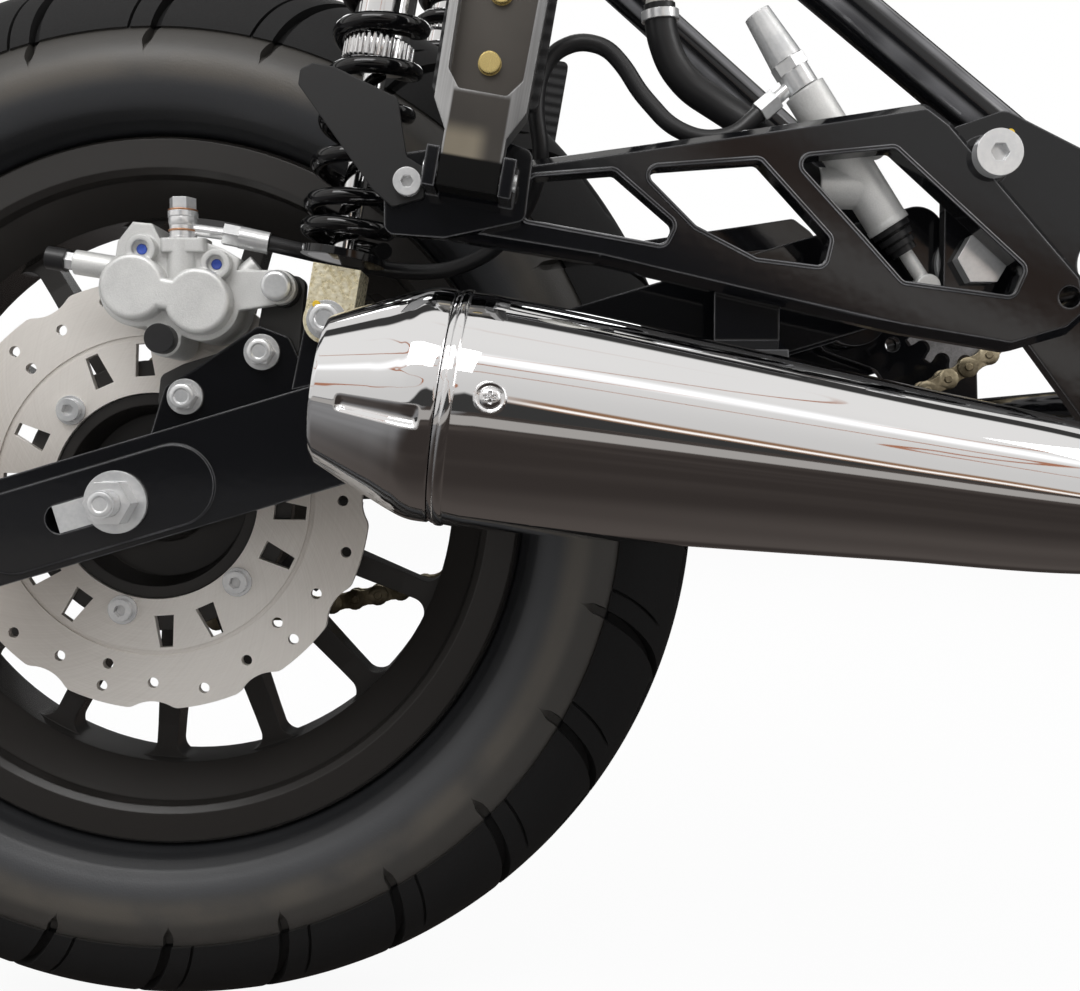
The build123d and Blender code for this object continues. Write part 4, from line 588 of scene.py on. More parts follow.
def circle_through(first, second, third):
    """Centre and radius of the circle through three points, where two right bisectors cross."""
    rows = np.array([np.subtract(second, first), np.subtract(third, first)])
    squares = [np.dot(second, second) - np.dot(first, first), np.dot(third, third) - np.dot(first, first)]
    centre = np.linalg.solve(rows, np.array(squares) / 2)
    return centre, hypot(*(centre - first))


def half_section():
    """Points (half width, radius) from the crown to the bead's toe, then along the inside to the crown."""
    lean = np.linspace(0, CROWN_SPAN, 32)
    crown = np.stack([CROWN_R * np.sin(lean), CROWN_TOP - CROWN_R + CROWN_R * np.cos(lean)], 1)
    crown[-1] = TREAD_EDGE
    centre, wall_r = circle_through(*map(np.array, WALL_POINTS))
    start, end = (np.arctan2(*(np.array(p) - centre)[::-1]) for p in (WALL_POINTS[0], WALL_POINTS[2]))
    swing = start + (end - start) * np.linspace(0, 1, 30) ** 1.15
    wall = centre + wall_r * np.stack([np.cos(swing), np.sin(swing)], 1)
    return np.concatenate([crown, wall, TOE, INSIDE]), len(crown) + len(wall)


half, OUTER_ROWS = half_section()
section = np.concatenate([half, (half * (-1, 1))[-2:0:-1]])
print("section of", len(section), "points")

# %% [markdown]
# Each point of the section knows its distance along the rubber from the middle of the crown. A groove's
# width, depth and bend all follow from that distance. Points of the inside get a distance that no groove
# reaches.

# %% Distance along the section
NO_GROOVE = 500.0
reach = np.concatenate([[0], np.cumsum(np.hypot(*np.diff(half[:OUTER_ROWS], axis=0).T))])
along = np.full(len(section), NO_GROOVE)
along[:OUTER_ROWS] = reach
along[len(section) - OUTER_ROWS + 1:] = reach[:0:-1]
outside = along < NO_GROOVE
print("from crown to bead:", round(float(reach[-1]), 1), "mm")

# %% [markdown]
# One pitch of columns is laid out in millimetres, from the middle of a groove over the thin cut to the
# next groove. A groove is pointed where it starts on the wall and closes again near the crown, so its
# columns spread and gather with its half width.

# %% Columns of one pitch
def smooth(value, low, high):
    """A smooth step: 0 below low, 1 above high, 3 t^2 - 2 t^3 between."""
    step = np.clip((value - low) / (high - low), 0, 1)
    return step * step * (3 - 2 * step)


GROOVES = 24
GROOVE_MM = 285.0
PITCH_MM = GROOVE_MM * 2 * pi / GROOVES
CUT_AT = GROOVE_MM * radians(3.3)
half_w = 0.4 + 2.9 * smooth(98 - along, 0, 9) * smooth(along - 6, 0, 14)
in_groove = np.array([-1.25, -1.0, -0.8, -0.35, 0.0, 0.35, 0.8, 1.0, 1.25])
to_cut = np.linspace(0, 1, 5)[1:-1]
in_cut = np.array([-1.5, -1.0, -0.6, 0.6, 1.0, 1.5])
to_next = np.linspace(0, 1, 10)[1:-1]
edge_w = 1.25 * half_w[:, None]
across_mm = np.concatenate([
    half_w[:, None] * in_groove,
    edge_w + to_cut * (CUT_AT - 1.5 - edge_w),
    CUT_AT + in_cut + 0 * edge_w,
    CUT_AT + 1.5 + to_next * (PITCH_MM - edge_w - CUT_AT - 1.5),
], 1)
print("one pitch is", round(PITCH_MM, 1), "mm and has", across_mm.shape[1], "columns")

# %% [markdown]
# Each mark in the rubber is a mask from 0 to 1 times its depth, and the deepest one wins. The bend and
# the half pitch between the two shoulders are turns that differ from row to row.

# %% Grooves, cuts and channels
GROOVE_DEEP = 5.5
CUT_DEEP = 2.4
CHANNEL_DEEP = 3.0
CHANNEL_ALONG = 20.5
main = np.clip((1.0 - np.abs(across_mm) / half_w[:, None]) / 0.2, 0, 1)
main = main * (smooth(99 - along, 0, 15) * smooth(along - 8, 0, 8))[:, None]
fine_cut = np.clip((1.0 - np.abs(across_mm - CUT_AT)) / 0.4, 0, 1)
fine_cut = fine_cut * (smooth(79 - along, 0, 2) * smooth(along - 36, 0, 10))[:, None]
behind = across_mm - PITCH_MM * (across_mm > PITCH_MM / 2)
channel = np.clip((2.8 - np.abs(along - CHANNEL_ALONG)) / 1.2, 0, 1)[:, None]
channel = channel * smooth(12.5 - np.abs(behind + 18), 0, 4)
depth = np.maximum.reduce([GROOVE_DEEP * main, CUT_DEEP * fine_cut, CHANNEL_DEEP * channel])
bend = radians(6.8) * np.clip((84.0 - along) / 70.0, 0, 1) ** 1.5 * outside
bend += radians(0.8) * (np.clip((98.0 - along) / 20.0, 0, 1) - 1) * outside
late = np.where(section[:, 0] < 0, 0.0, pi / GROOVES)
one_pitch = across_mm / GROOVE_MM - (bend + late)[:, None]
turn = np.concatenate([one_pitch + number * 2 * pi / GROOVES for number in range(GROOVES)], 1)
depth = np.tile(depth, (1, GROOVES))
print("columns:", turn.shape[1], "deepest groove", round(float(depth.max()), 1), "mm")

# %% [markdown]
# The surface is the section turned round the axle, sunk by the depth along its own outward direction. Two
# moulded rings stand proud near the bead and one finer ring above them, each a bell curve on the radius.

# %% Tyre surface
RINGS = ((211.5, 0.7, 1.0), (216.0, 0.9, 1.3), (229.0, 0.35, 0.8))
tangent = np.roll(section, -1, axis=0) - np.roll(section, 1, axis=0)
outward = np.stack([-tangent[:, 1], tangent[:, 0]], 1) / np.hypot(*tangent.T)[:, None]
outward *= np.where(outside, 1.0, 0.0)[:, None] * np.sign(outward[:1, 1])
ring_height = sum(tall * np.exp(-((section[:, 1] - at_r) / wide) ** 2) for at_r, tall, wide in RINGS)
proud = (ring_height * outside)[:, None] - depth
flat = section[:, None, :] + outward[:, None, :] * proud[..., None]
tyre_points = np.stack([flat[..., 1] * np.cos(turn), flat[..., 0], flat[..., 1] * np.sin(turn)], -1)
tyre_shell = (on_machine(tyre_points).reshape(-1, 3), grid_faces(len(section), turn.shape[1], True))
tyre = piece("treaded_tyre", [tyre_shell], "tyre_rubber", "rear_wheel", ["tyre"], sharp=34.0)
print("tyre:", triangles(tyre), "triangles")

# %% [markdown]
# ## The silencer
# Chrome shows every facet. Smoothing the CAD mesh would soften its outline too, so the drum and the cap
# are turned again as fine surfaces of revolution about their sloping axis. The radius follows smooth
# curves through the drum's measured stations. A rolled bead stands where cap and drum meet.

# %% Turning round a sloping axis
FALL = radians(8.3)
SILENCER_DIR = np.array([cos(FALL), 0.0, -sin(FALL)])
SILENCER_JOINT = np.array([172.0, -190.0, 46.5])


def across(axis):
    """Two unit vectors square to an axis and to each other."""
    axis = np.asarray(axis, float) / np.linalg.norm(axis)
    helper = np.array([0.0, 1.0, 0.0]) if abs(axis[1]) < 0.9 else np.array([0.0, 0.0, 1.0])
    first = np.cross(helper, axis)
    first /= np.linalg.norm(first)
    return axis, first, np.cross(axis, first)


def turned(profile, origin, axis, columns=64, change=None):
    """A shape of revolution: point = origin + axis * h + r * (first * cos a + second * sin a), rows (h, r).
    columns is how many, or their angles. change takes h, r and a as arrays and gives back h and r."""
    axis, first, second = across(axis)
    angle = np.linspace(0, 2 * pi, columns, endpoint=False) if isinstance(columns, int) else columns
    profile = np.asarray(profile, float)
    h, r, a = np.broadcast_arrays(profile[:, :1], profile[:, 1:], angle[None, :])
    if change:
        h, r = change(h, r, a)
    round_it = np.cos(a)[..., None] * first + np.sin(a)[..., None] * second
    points = origin + h[..., None] * axis + r[..., None] * round_it
    return on_machine(points).reshape(-1, 3), grid_faces(len(profile), len(angle))


def eased(knots, count):
    """A smooth curve through knots (x, y), even in x: cubic pieces with the knots' mean slopes."""
    x, y = np.array(knots, float).T
    slope = np.gradient(y, x)
    at_x = np.linspace(x[0], x[-1], count)
    i = np.clip(np.searchsorted(x, at_x, side="right") - 1, 0, len(x) - 2)
    width = x[i + 1] - x[i]
    t = (at_x - x[i]) / width
    value = (
        (1 + 2 * t) * (1 - t) ** 2 * y[i] + t * (1 - t) ** 2 * width * slope[i]
        + t * t * (3 - 2 * t) * y[i + 1] + t * t * (t - 1) * width * slope[i + 1]
    )
    return np.stack([at_x, value], 1)


DRUM = ((9.0, 53.3), (40.0, 52.0), (120.0, 46.6), (210.0, 39.8), (300.0, 33.0), (344.0, 26.0))
DRUM_BACK = [(0.2, 0.0), (0.2, 52.2), (1.6, 52.9)]
DRUM_FRONT = [(344.0, 0.0)]
BEAD_AT = (4.6, 52.9)
BEAD_HALF = (2.2, 0.9)
bead_turn = np.linspace(pi, 0.0, 13)
bead = BEAD_AT + BEAD_HALF * np.stack([np.cos(bead_turn), np.sin(bead_turn)], 1)
drum_profile = np.concatenate([DRUM_BACK, bead, eased(DRUM, 90)[1:], DRUM_FRONT])
silencer = piece("silencer_drum", [turned(drum_profile, SILENCER_JOINT, SILENCER_DIR, columns=200)],
                 "chrome", "chassis", ["silencer_body"])
print("silencer drum:", triangles(silencer), "triangles")

# %% [markdown]
# The end cap is a pressed cone with a rolled lip. One fold is stamped into its outer side, just under its
# middle. Its upper wall faces the floor, so it looks dark, and its lower wall turns back up to the light.
# A crease in the normals would catch no real outline, so the fold moves the surface itself, and the
# columns crowd there.

# %% End cap
FOLD_TURN = -pi / 2 + radians(7.5)
FOLD_DEEP = 2.4
FOLD_AT_R = 46.0
CAP_OUTER = (
    (-54.0, 34.2), (-44.0, 38.7), (-30.0, 44.9), (-18.0, 50.1),
    (-12.5, 52.1), (-8.5, 52.85), (-4.0, 53.0), (-0.9, 52.9),
)
CAP_BORE = [(-0.2, 0), (-12, 0), (-12, 23.0)]
CAP_LIP = [(-46, 24.0), (-54.2, 26.8), (-55.6, 29.0), (-56.0, 31.2), (-55.4, 33.2)]
CAP_RIM = [(-0.3, 52.5), (-0.2, 52.0), (-0.2, 0)]


def stamped(h, r, angle):
    """Sinks a slot of 38 by 9 mm into the cap: depth = FOLD_DEEP * ends * upper wall * lower wall."""
    up_it = -(angle - FOLD_TURN) * FOLD_AT_R
    ends = smooth(h + 43.5, 0, 3) * smooth(-5.5 - h, 0, 3)
    dent = ends * smooth(4.8 - up_it, 0, 5.2) * smooth(up_it + 4.4, 0, 3.2)
    return h, r - FOLD_DEEP * dent * (r > 34.5) * (h > -50)


coarse = np.linspace(-pi, pi, 150, endpoint=False)
dense = FOLD_TURN + np.linspace(-0.22, 0.22, 60)
cap_turns = np.sort(np.concatenate([coarse[np.abs(coarse - FOLD_TURN) > 0.23], dense]))
cap_profile = np.concatenate([CAP_BORE, CAP_LIP, eased(CAP_OUTER, 90), CAP_RIM])
cap_shell = turned(cap_profile, SILENCER_JOINT, SILENCER_DIR, cap_turns, stamped)
cap = piece("silencer_cap", [cap_shell], "chrome", "chassis", ["silencer_end_cap"])
print("silencer cap:", triangles(cap), "triangles")

# %% [markdown]
# A domed screw with a cross recess sits in a dished washer on the drum. It is turned like the drum, and
# the recess sinks those points of the dome that lie near two crossed lines, because a texture of a cross
# would stay flat.

# %% Drum screw
SCREW_UP = radians(6.0)
SCREW_ALONG = 22.0
SCREW_FROM_AXIS = 52.6
RECESS_DEEP = 1.6
_, down, inward = across(SILENCER_DIR)
screw_out = -cos(SCREW_UP) * inward - sin(SCREW_UP) * down
screw_at = SILENCER_JOINT + SCREW_ALONG * SILENCER_DIR + SCREW_FROM_AXIS * screw_out


def crossed_recess(h, r, angle):
    """Sinks the head by RECESS_DEEP inside a cross whose arms are 1 mm wide and 2.5 mm long."""
    arm = np.minimum(np.abs(r * np.sin(angle)), np.abs(r * np.cos(angle)))
    sunk = (1 - smooth(arm, 0.45, 0.8)) * (1 - smooth(r, 2.2, 2.7))
    return h - RECESS_DEEP * sunk * (h > 0.5), r


washer = [(-1.5, 0), (-1.5, 7.0), (0.3, 7.2), (1.1, 6.6), (1.2, 6.0), (0.7, 5.2), (0.6, 4.6)]
dome = [(0.7 + 1.9 * cos(lean), 4.6 * sin(lean)) for lean in np.linspace(pi / 2, 0.0, 16)]
screw_shell = turned(washer + dome, screw_at, screw_out, 72, crossed_recess)
screw = piece("silencer_screw", [screw_shell], "chrome", "chassis")
print("silencer screw:", triangles(screw), "triangles")

# %% [markdown]
# ## Springs
# The real spring is round wire, and it closes up towards its ends. A stack of rings would look like one
# from afar and show no slope, so the coil is a tube along a helix, whose pitch grows from 9 mm at an end
# to its full width two turns further. The black seats and the bright damper stay CAD.

# %% Tubes and coils
def tube(path, towards, wire_r, sides=14):
    """A tube in mm, closed at both ends: point = path + wire_r * (normal * cos a + binormal * sin a)."""
    path = np.asarray(path, float)
    tangent = np.gradient(path, axis=0)
    tangent /= np.linalg.norm(tangent, axis=1)[:, None]
    normal = towards - (towards * tangent).sum(1)[:, None] * tangent
    normal /= np.linalg.norm(normal, axis=1)[:, None]
    binormal = np.cross(tangent, normal)
    angle = np.linspace(0, 2 * pi, sides, endpoint=False)
    ring = np.cos(angle)[None, :, None] * normal[:, None] + np.sin(angle)[None, :, None] * binormal[:, None]
    grid = path[:, None] + wire_r * ring
    ends = [np.repeat(path[:1, None], sides, 1), np.repeat(path[-1:, None], sides, 1)]
    grid = np.concatenate([ends[0], grid, ends[1]])
    return on_machine(grid).reshape(-1, 3), grid_faces(len(path) + 2, sides)


SPRING_LOW = 36.0
SPRING_L = 232.0
SPRING_R = 24.0
WIRE_R = 4.25
TURNS = 11.9
turns = np.linspace(0, TURNS, 620)
pitch = 9.0 + 13.0 * smooth(np.minimum(turns, TURNS - turns), 0.5, 2.3)
rise = np.concatenate([[0], np.cumsum((pitch[1:] + pitch[:-1]) / 2 * np.diff(turns))])
rise *= (SPRING_L - 2 * WIRE_R - 0.6) / rise[-1]
shock_axis, shock_first, shock_second = across(SHOCK_DIR)
spoke = np.cos(2 * pi * turns)[:, None] * shock_first + np.sin(2 * pi * turns)[:, None] * shock_second
helix = (SPRING_LOW + WIRE_R + 0.3 + rise)[:, None] * shock_axis + (SPRING_R - WIRE_R) * spoke
shock_feet = [np.array([SHOCK_LOW[0], sign * SHOCK_Y, SHOCK_LOW[1]]) for sign in (-1, 1)]
coils = [tube(foot + helix, spoke, WIRE_R) for foot in shock_feet]
springs = piece("round_springs", coils, "spring_black", "chassis", ["shock_springs"], sharp=50.0)
print("springs:", triangles(springs), "triangles")

# %% [markdown]
# Three bright fluted collars sit on each damper. The flutes are a wave on the radius with its top and
# bottom cut flat, which gives the square teeth of the real ones without modelling each tooth.

# %% Damper collars
COLLARS = ((131.0, 143.0), (186.0, 204.0), (226.0, 240.0))
FLUTES = 36
FLUTE_DEEP = 0.35


def fluted(h, r, angle):
    """Waves the outer radius: r + FLUTE_DEEP * (3 cos(FLUTES * a), cut off at -1 and 1)."""
    return h, r + FLUTE_DEEP * np.clip(np.cos(FLUTES * angle) * 3, -1, 1) * (r > 17)


collars = []
for foot in shock_feet:
    for low, high in COLLARS:
        rows = [(low, 14.0), (low, 16.4), (low + 0.8, 17.2), (high - 0.8, 17.2), (high, 16.4), (high, 14.0)]
        collars.append(turned(rows, foot, shock_axis, 216, fluted))
collar = piece("damper_collars", collars, "chrome", "chassis")
print("collars:", triangles(collar), "triangles")

# %% [markdown]
# ## Lips of the hanger's openings
# A casting's openings have a rounded lip, left by the mould, and on gloss black it shows as a thin bright
# line. The CAD edge is sharp, so a low round bead runs along each opening, half sunk in the metal. Its
# path is the opening's outline with arcs at the corners, moved outwards by most of the bead's radius.

# %% Hanger lips
OPENINGS = (
    ((205.0, 141.0), (211.0, 156.0), (250.0, 159.0), (279.0, 134.0), (274.0, 124.0), (208.0, 136.0)),
    ((289.0, 133.0), (262.0, 160.0), (319.0, 164.0), (353.0, 127.0), (350.0, 114.0), (318.0, 118.0)),
    ((335.0, 165.0), (383.0, 169.5), (445.6, 113.0), (440.0, 100.0), (388.0, 107.0), (370.0, 127.0)),
)
HANGER_FACE_Y = 160.0
CORNER_R = 4.0
LIP_R = 1.3


def rounded_loop(corners, corner_r, per_corner=9):
    """A closed outline with arcs at its corners. Each arc's centre is on the corner's bisector, at a
    distance of corner_r / sin(half angle), and the arc turns evenly between its two touching points."""
    corner = np.asarray(corners, float)
    back = np.roll(corner, 1, axis=0) - corner
    on = np.roll(corner, -1, axis=0) - corner
    back /= np.linalg.norm(back, axis=1)[:, None]
    on /= np.linalg.norm(on, axis=1)[:, None]
    half_angle = np.arccos((back * on).sum(1))[:, None] / 2
    bisector = (back + on) / np.linalg.norm(back + on, axis=1)[:, None]
    centre = corner + bisector * corner_r / np.sin(half_angle)
    first = corner + back * corner_r / np.tan(half_angle) - centre
    last = corner + on * corner_r / np.tan(half_angle) - centre
    sweep = (pi - 2 * half_angle)[:, None]
    t = np.linspace(0, 1, per_corner)[None, :, None]
    arc = (np.sin((1 - t) * sweep) * first[:, None] + np.sin(t * sweep) * last[:, None]) / np.sin(sweep)
    return (centre[:, None] + arc).reshape(-1, 2)


def lip(corners, sign):
    """A bead along an outline: path + LIP_R * (out of the face * cos a + off the opening * sin a)."""
    path = rounded_loop(corners, CORNER_R)
    step = np.roll(path, -1, axis=0) - np.roll(path, 1, axis=0)
    step /= np.linalg.norm(step, axis=1)[:, None]
    beyond = np.roll(path, -1, axis=0)
    turning = np.sign((path[:, 0] * beyond[:, 1] - path[:, 1] * beyond[:, 0]).sum())
    away = turning * np.stack([step[:, 1], -step[:, 0]], 1)
    angle = np.linspace(0, 2 * pi, 14, endpoint=False)[None, :]
    sideways = LIP_R * (0.75 + np.sin(angle))
    x = path[:, :1] + away[:, :1] * sideways
    z = path[:, 1:] + away[:, 1:] * sideways
    y = sign * (HANGER_FACE_Y - 0.3 * LIP_R + LIP_R * np.cos(angle)) + 0 * x
    return on_machine(np.stack([x, y, z], -1)).reshape(-1, 3), grid_faces(len(path), angle.size, True)


lip_shells = [lip(corners, sign) for corners in OPENINGS for sign in (-1, 1)]
lips = piece("hanger_lips", lip_shells, "gloss_black", "chassis", sharp=60.0)
print("lips:", triangles(lips), "triangles")

# %% [markdown]
# ## Chain
# The CAD chain is one solid, two rows of plates joined by rollers. Here each link has its own pair of
# plates, inner and outer in turn, on rollers and riveted pins. An array along a curve would stretch its
# links at the sprockets, so every pin's place is worked out: round both sprockets and along two slack
# runs, each one pitch from the next.

# %% Where the pins are
PITCH = 15.875
CHAIN_Y = 80.0
REAR_TEETH = 36
FRONT_TEETH = 14
FRONT = (497.1, 118.4)


def slack_run(start, end, bend):
    """Pins on an arc between two points. The turn a link is found by halving until the span fits."""
    span = hypot(end[0] - start[0], end[1] - start[1])
    links = int(np.ceil(span / PITCH - 0.001))
    low, high = 0.0, 0.3
    for _ in range(60):
        middle = (low + high) / 2
        longer = PITCH * sin(links * middle / 2) / sin(middle / 2) > span
        low, high = (middle, high) if longer else (low, middle)
    heading = np.arctan2(end[1] - start[1], end[0] - start[0])
    course = heading + bend * (np.arange(links - 1) - (links - 1) / 2) * low
    return start + PITCH * np.cumsum(np.stack([np.cos(course), np.sin(course)], 1), axis=0)


def chain_pins():
    """Every pin (x, z), from the upper touching point back round the rear sprocket, as two columns."""
    rear_r, front_r = (PITCH / 2 / sin(pi / teeth) for teeth in (REAR_TEETH, FRONT_TEETH))
    touch = float(np.arccos((rear_r - front_r) / hypot(*FRONT)))
    first = float(np.arctan2(FRONT[1], FRONT[0])) + touch
    rear_step, front_step = 2 * pi / REAR_TEETH, 2 * pi / FRONT_TEETH
    rear_turn = first + rear_step * np.arange(int((2 * pi - 2 * touch) / rear_step) + 1)
    rear = rear_r * np.stack([np.cos(rear_turn), np.sin(rear_turn)], 1)
    front_turn = first - front_step * np.arange(int(2 * touch / front_step), -1, -1)
    front = FRONT + front_r * np.stack([np.cos(front_turn), np.sin(front_turn)], 1)
    lower = slack_run(rear[-1], front[0], 1)
    upper = slack_run(front[-1], rear[0], -1)
    return np.concatenate([rear, lower, front, upper])


pins = chain_pins()
ahead = np.roll(pins, -1, axis=0)
print("pins:", len(pins), "longest link", round(float(np.hypot(*(ahead - pins).T).max()), 3), "mm")

# %% [markdown]
# All links share one outline, a figure of eight with two eyes and a waist. It is turned and moved by
# arrays of angles and middles, which makes every plate at once. One object a link would give 90 objects
# to keep in order.

# %% Plates of the links
EYE_R = 7.0
WAIST = 5.0
PLATE_AT = (3.3, 5.0)
PLATE_ROWS = ((0.0, 0.0), (0.0, 0.95), (0.25, 1.0), (1.25, 1.0), (1.5, 0.95), (1.5, 0.0))
eye = np.radians(np.linspace(-128, 128, 13))
right_eye = np.stack([PITCH / 2 + EYE_R * np.cos(eye), EYE_R * np.sin(eye)], 1)
outline = np.concatenate([right_eye, [(0, WAIST)], -right_eye, [(0, -WAIST)]])
course = np.arctan2(*(ahead - pins).T[::-1])[:, None]
middle = ((ahead + pins) / 2)[:, None]
turned_x = middle[..., 0] + outline[:, 0] * np.cos(course) - outline[:, 1] * np.sin(course)
turned_z = middle[..., 1] + outline[:, 0] * np.sin(course) + outline[:, 1] * np.cos(course)
centre = middle + 0 * turned_x[..., None]
inner = np.where(np.arange(len(pins)) % 2 == 0, *PLATE_AT)[:, None]
plates = []
for sign in (-1, 1):
    rows = []
    for out_mm, shrink in PLATE_ROWS:
        x = centre[..., 0] + shrink * (turned_x - centre[..., 0])
        z = centre[..., 1] + shrink * (turned_z - centre[..., 1])
        rows.append(np.stack([x, CHAIN_Y + sign * (inner + out_mm) + 0 * x, z], -1))
    plates.append(many(np.stack(rows, 1)))
print("plates:", 2 * len(pins))

# %% Rollers and rivets
ROLLER = (3.3, 5.08, 20)
RIVET = (7.3, 2.7, 14)
ROUND_ROWS = ((-1, 0.0), (-1, 0.86), (-0.94, 1.0), (0.94, 1.0), (1, 0.86), (1, 0.0))
rounds = []
for reach_mm, round_r, count in (ROLLER, RIVET):
    angle = np.linspace(0, 2 * pi, count, endpoint=False)
    rows = []
    for out_mm, shrink in ROUND_ROWS:
        x = pins[:, :1] + shrink * round_r * np.cos(angle)
        z = pins[:, 1:] + shrink * round_r * np.sin(angle)
        rows.append(np.stack([x, CHAIN_Y + out_mm * reach_mm + 0 * x, z], -1))
    rounds.append(many(np.stack(rows, 1)))
links = piece("chain_links", plates + rounds, "chain_steel", "chassis", ["chain"], sharp=40.0)
print("chain:", triangles(links), "triangles")

# %% [markdown]
# ## Small hardware
# A real bolt head has a rounded, slightly dished face. The CAD heads are plain, so a low turned face lies
# on each, found from the node's own box and not from a number that could go stale.

# %% Bolt faces
def disc_at(x, y, z, radius_mm, tall, dish, sign=-1, columns=40):
    """A low round face on a bolt head: a chamfered edge, a flat ring and a shallow dish."""
    rows = [
        (-0.2, 0), (-0.2, radius_mm), (tall * 0.5, radius_mm), (tall, radius_mm * 0.9),
        (tall, radius_mm * 0.66), (tall - dish, radius_mm * 0.56), (tall - dish, 0),
    ]
    return turned(rows, np.array([x, y, z]), (0, sign, 0), columns)


def outer_face(node, sign=-1):
    """The y in mm of a node's outermost face on that side."""
    low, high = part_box(node)
    return (low[1] if sign < 0 else high[1]) / MM - AXLE[1]


CALIPER_BOLTS = ((26.9, 54.4), (67.8, 77.9))
caliper_y = outer_face("caliper_bolts")
faces = [disc_at(x, caliper_y, z, radius_mm=6.3, tall=0.7, dish=0.5) for x, z in CALIPER_BOLTS]
for sign in (-1, 1):
    shock_y = outer_face("shock_bolts", sign)
    axle_y = outer_face("rear_axle", sign)
    faces.append(disc_at(SHOCK_LOW[0], shock_y, SHOCK_LOW[1], radius_mm=7.2, tall=0.7, dish=0.5, sign=sign))
    faces.append(disc_at(0.0, axle_y, 0.0, radius_mm=6.2, tall=0.5, dish=0.4, sign=sign))
bolt_faces = piece("bolt_faces", faces, "bolt_steel", "chassis")
print("bolt faces:", triangles(bolt_faces), "triangles")

# %% [markdown]
# The brake hose ends in a ring that a hollow bolt holds, with a copper washer above and below to seal it.
# All three are turned about the bolt's upright axis, the ring with a half ellipse for its edge.

# %% Hose ring and washers
banjo_at = np.array([28.0, -100.0, 0.0])
eye_turn = np.linspace(-1.0, 1.0, 15)
eye_rows = np.stack([146.0 + 4.6 * eye_turn, 5.2 + 2.3 * np.sqrt(np.clip(1 - eye_turn**2, 0, 1))], 1)
eye_rows = np.concatenate([[(141.4, 0)], eye_rows, [(150.6, 0)]])
banjo_eye = piece("banjo_eye", [turned(eye_rows, banjo_at, (0, 0, 1), 48)], "bolt_steel", "chassis")
washers = []
for low in (140.2, 150.7):
    rows = [(low, 0), (low, 7.2), (low + 0.2, 7.6), (low + 0.9, 7.6), (low + 1.1, 7.2), (low + 1.1, 0)]
    washers.append(turned(rows, banjo_at, (0, 0, 1), 48))
copper_washers = piece("copper_washers", washers, "copper", "chassis")
print("ring and washers:", triangles(banjo_eye) + triangles(copper_washers), "triangles")

# %% [markdown]
# The two screws in the calliper's cap show their blue locking paste, and two bolts carry a dab of marking
# paint. A painted spot in the bolt's finish would need its own mask on each bolt, so each dab is a flat
# round drop.

# %% Paste and paint marks
CAP_SCREW_Y = -107.0
PASTE_AT = ((8.4, 130.3), (47.1, 122.5))
MARKS_AT = ((104.2, outer_face("shock_bolts") + 6.4, 98.6), (437.5, -160.3, 176.5))
locks = [disc_at(x, CAP_SCREW_Y, z, radius_mm=2.7, tall=0.35, dish=0.1) for x, z in PASTE_AT]
lock_paste = piece("lock_paste", locks, "thread_lock", "chassis")
marks = [disc_at(x, y, z, radius_mm=2.0, tall=0.5, dish=0.0, columns=16) for x, y, z in MARKS_AT]
paint_marks = piece("paint_marks", marks, "paint_mark", "chassis")
print("dabs:", triangles(lock_paste) + triangles(paint_marks), "triangles")

# %% [markdown]
# ## Studio
# The picture has a white ground. Polished metal shows the room: bright above, dim towards the floor, with
# a few warm shelves between. A photograph of a room could do that, but a few bands by direction are
# enough and stay under control. They are written into the world for reflected rays alone. The main
# direction is the angle upwards from the camera's side, over the top and down the far side, in radians.

# %% Bands of the room
world = bpy.data.worlds.new("studio")
scene.world = world
world.use_nodes = True
tree = world.node_tree
tree.nodes.clear()
sky = Wire(tree, tree.nodes.new("ShaderNodeTexCoord").outputs["Generated"])
split = parts_of(sky, sky)
up_angle = sky.maths("ARCTAN2", split["Z"], -split["Y"])
# The bright wall starts lower at both sides than in the middle
WALL_LOW = 0.24
aside = sky.maths("ABSOLUTE", split["X"] + 0.05)
above_edge = up_angle - WALL_LOW + aside * 0.5
wall = above_edge.ramp(0.0, 0.06) * up_angle.ramp(1.78, 1.72)
far_strip = up_angle.band((1.97, 1.99), (2.27, 2.23))
tube_lamp = up_angle.band((0.76, 0.88), (1.0, 0.88)) * aside.ramp(0.95, 0.6)
shelf = sky.noise(0.9, 0.0, (1.0, 1.0, 6.0))
streak = shelf.band((0.47, 0.475), (0.495, 0.485)) * up_angle.band((0.26, 0.36), (1.5, 1.2))
right = split["X"].ramp(0.03, 0.16)
brown_band = above_edge.band((0.0, 0.02), (0.15, 0.11)) * right
bright_line = above_edge.band((0.02, 0.045), (0.085, 0.055)) * right
print("bands: wall, far strip, lamp, shelves, and a brown band with a bright line")

# %% Colours of the room
SHELF_COLOUR = (0.45, 0.2, 0.12)
BROWN = (0.3, 0.165, 0.09)
LINE_LIGHT = (1.3, 1.25, 1.2)
LAMP_LIGHT = (1.4, 1.4, 1.4)
WALL_TONE = 0.66
STRIP_TONE = 0.75
DIM_TONE = 0.045
slope = up_angle.ramp(0.2, 1.2) * 0.2 + WALL_TONE
tone = wall * slope + far_strip * STRIP_TONE + DIM_TONE
grey = joined(sky, tone, tone * 0.985, tone * 0.965)
room = (streak * wall).mix(grey, SHELF_COLOUR)
room = brown_band.mix(room, BROWN)
room = bright_line.mix(room, LINE_LIGHT)
lit = tube_lamp.mix(room, LAMP_LIGHT)
print("the room's colours are mixed over each other, brightest last")

# %% [markdown]
# The camera sees plain white, mirrors see the room, and everything else is lit by an even grey. The Light
# Path node tells the three kinds of ray apart, which one colour for all of them couldn't do.

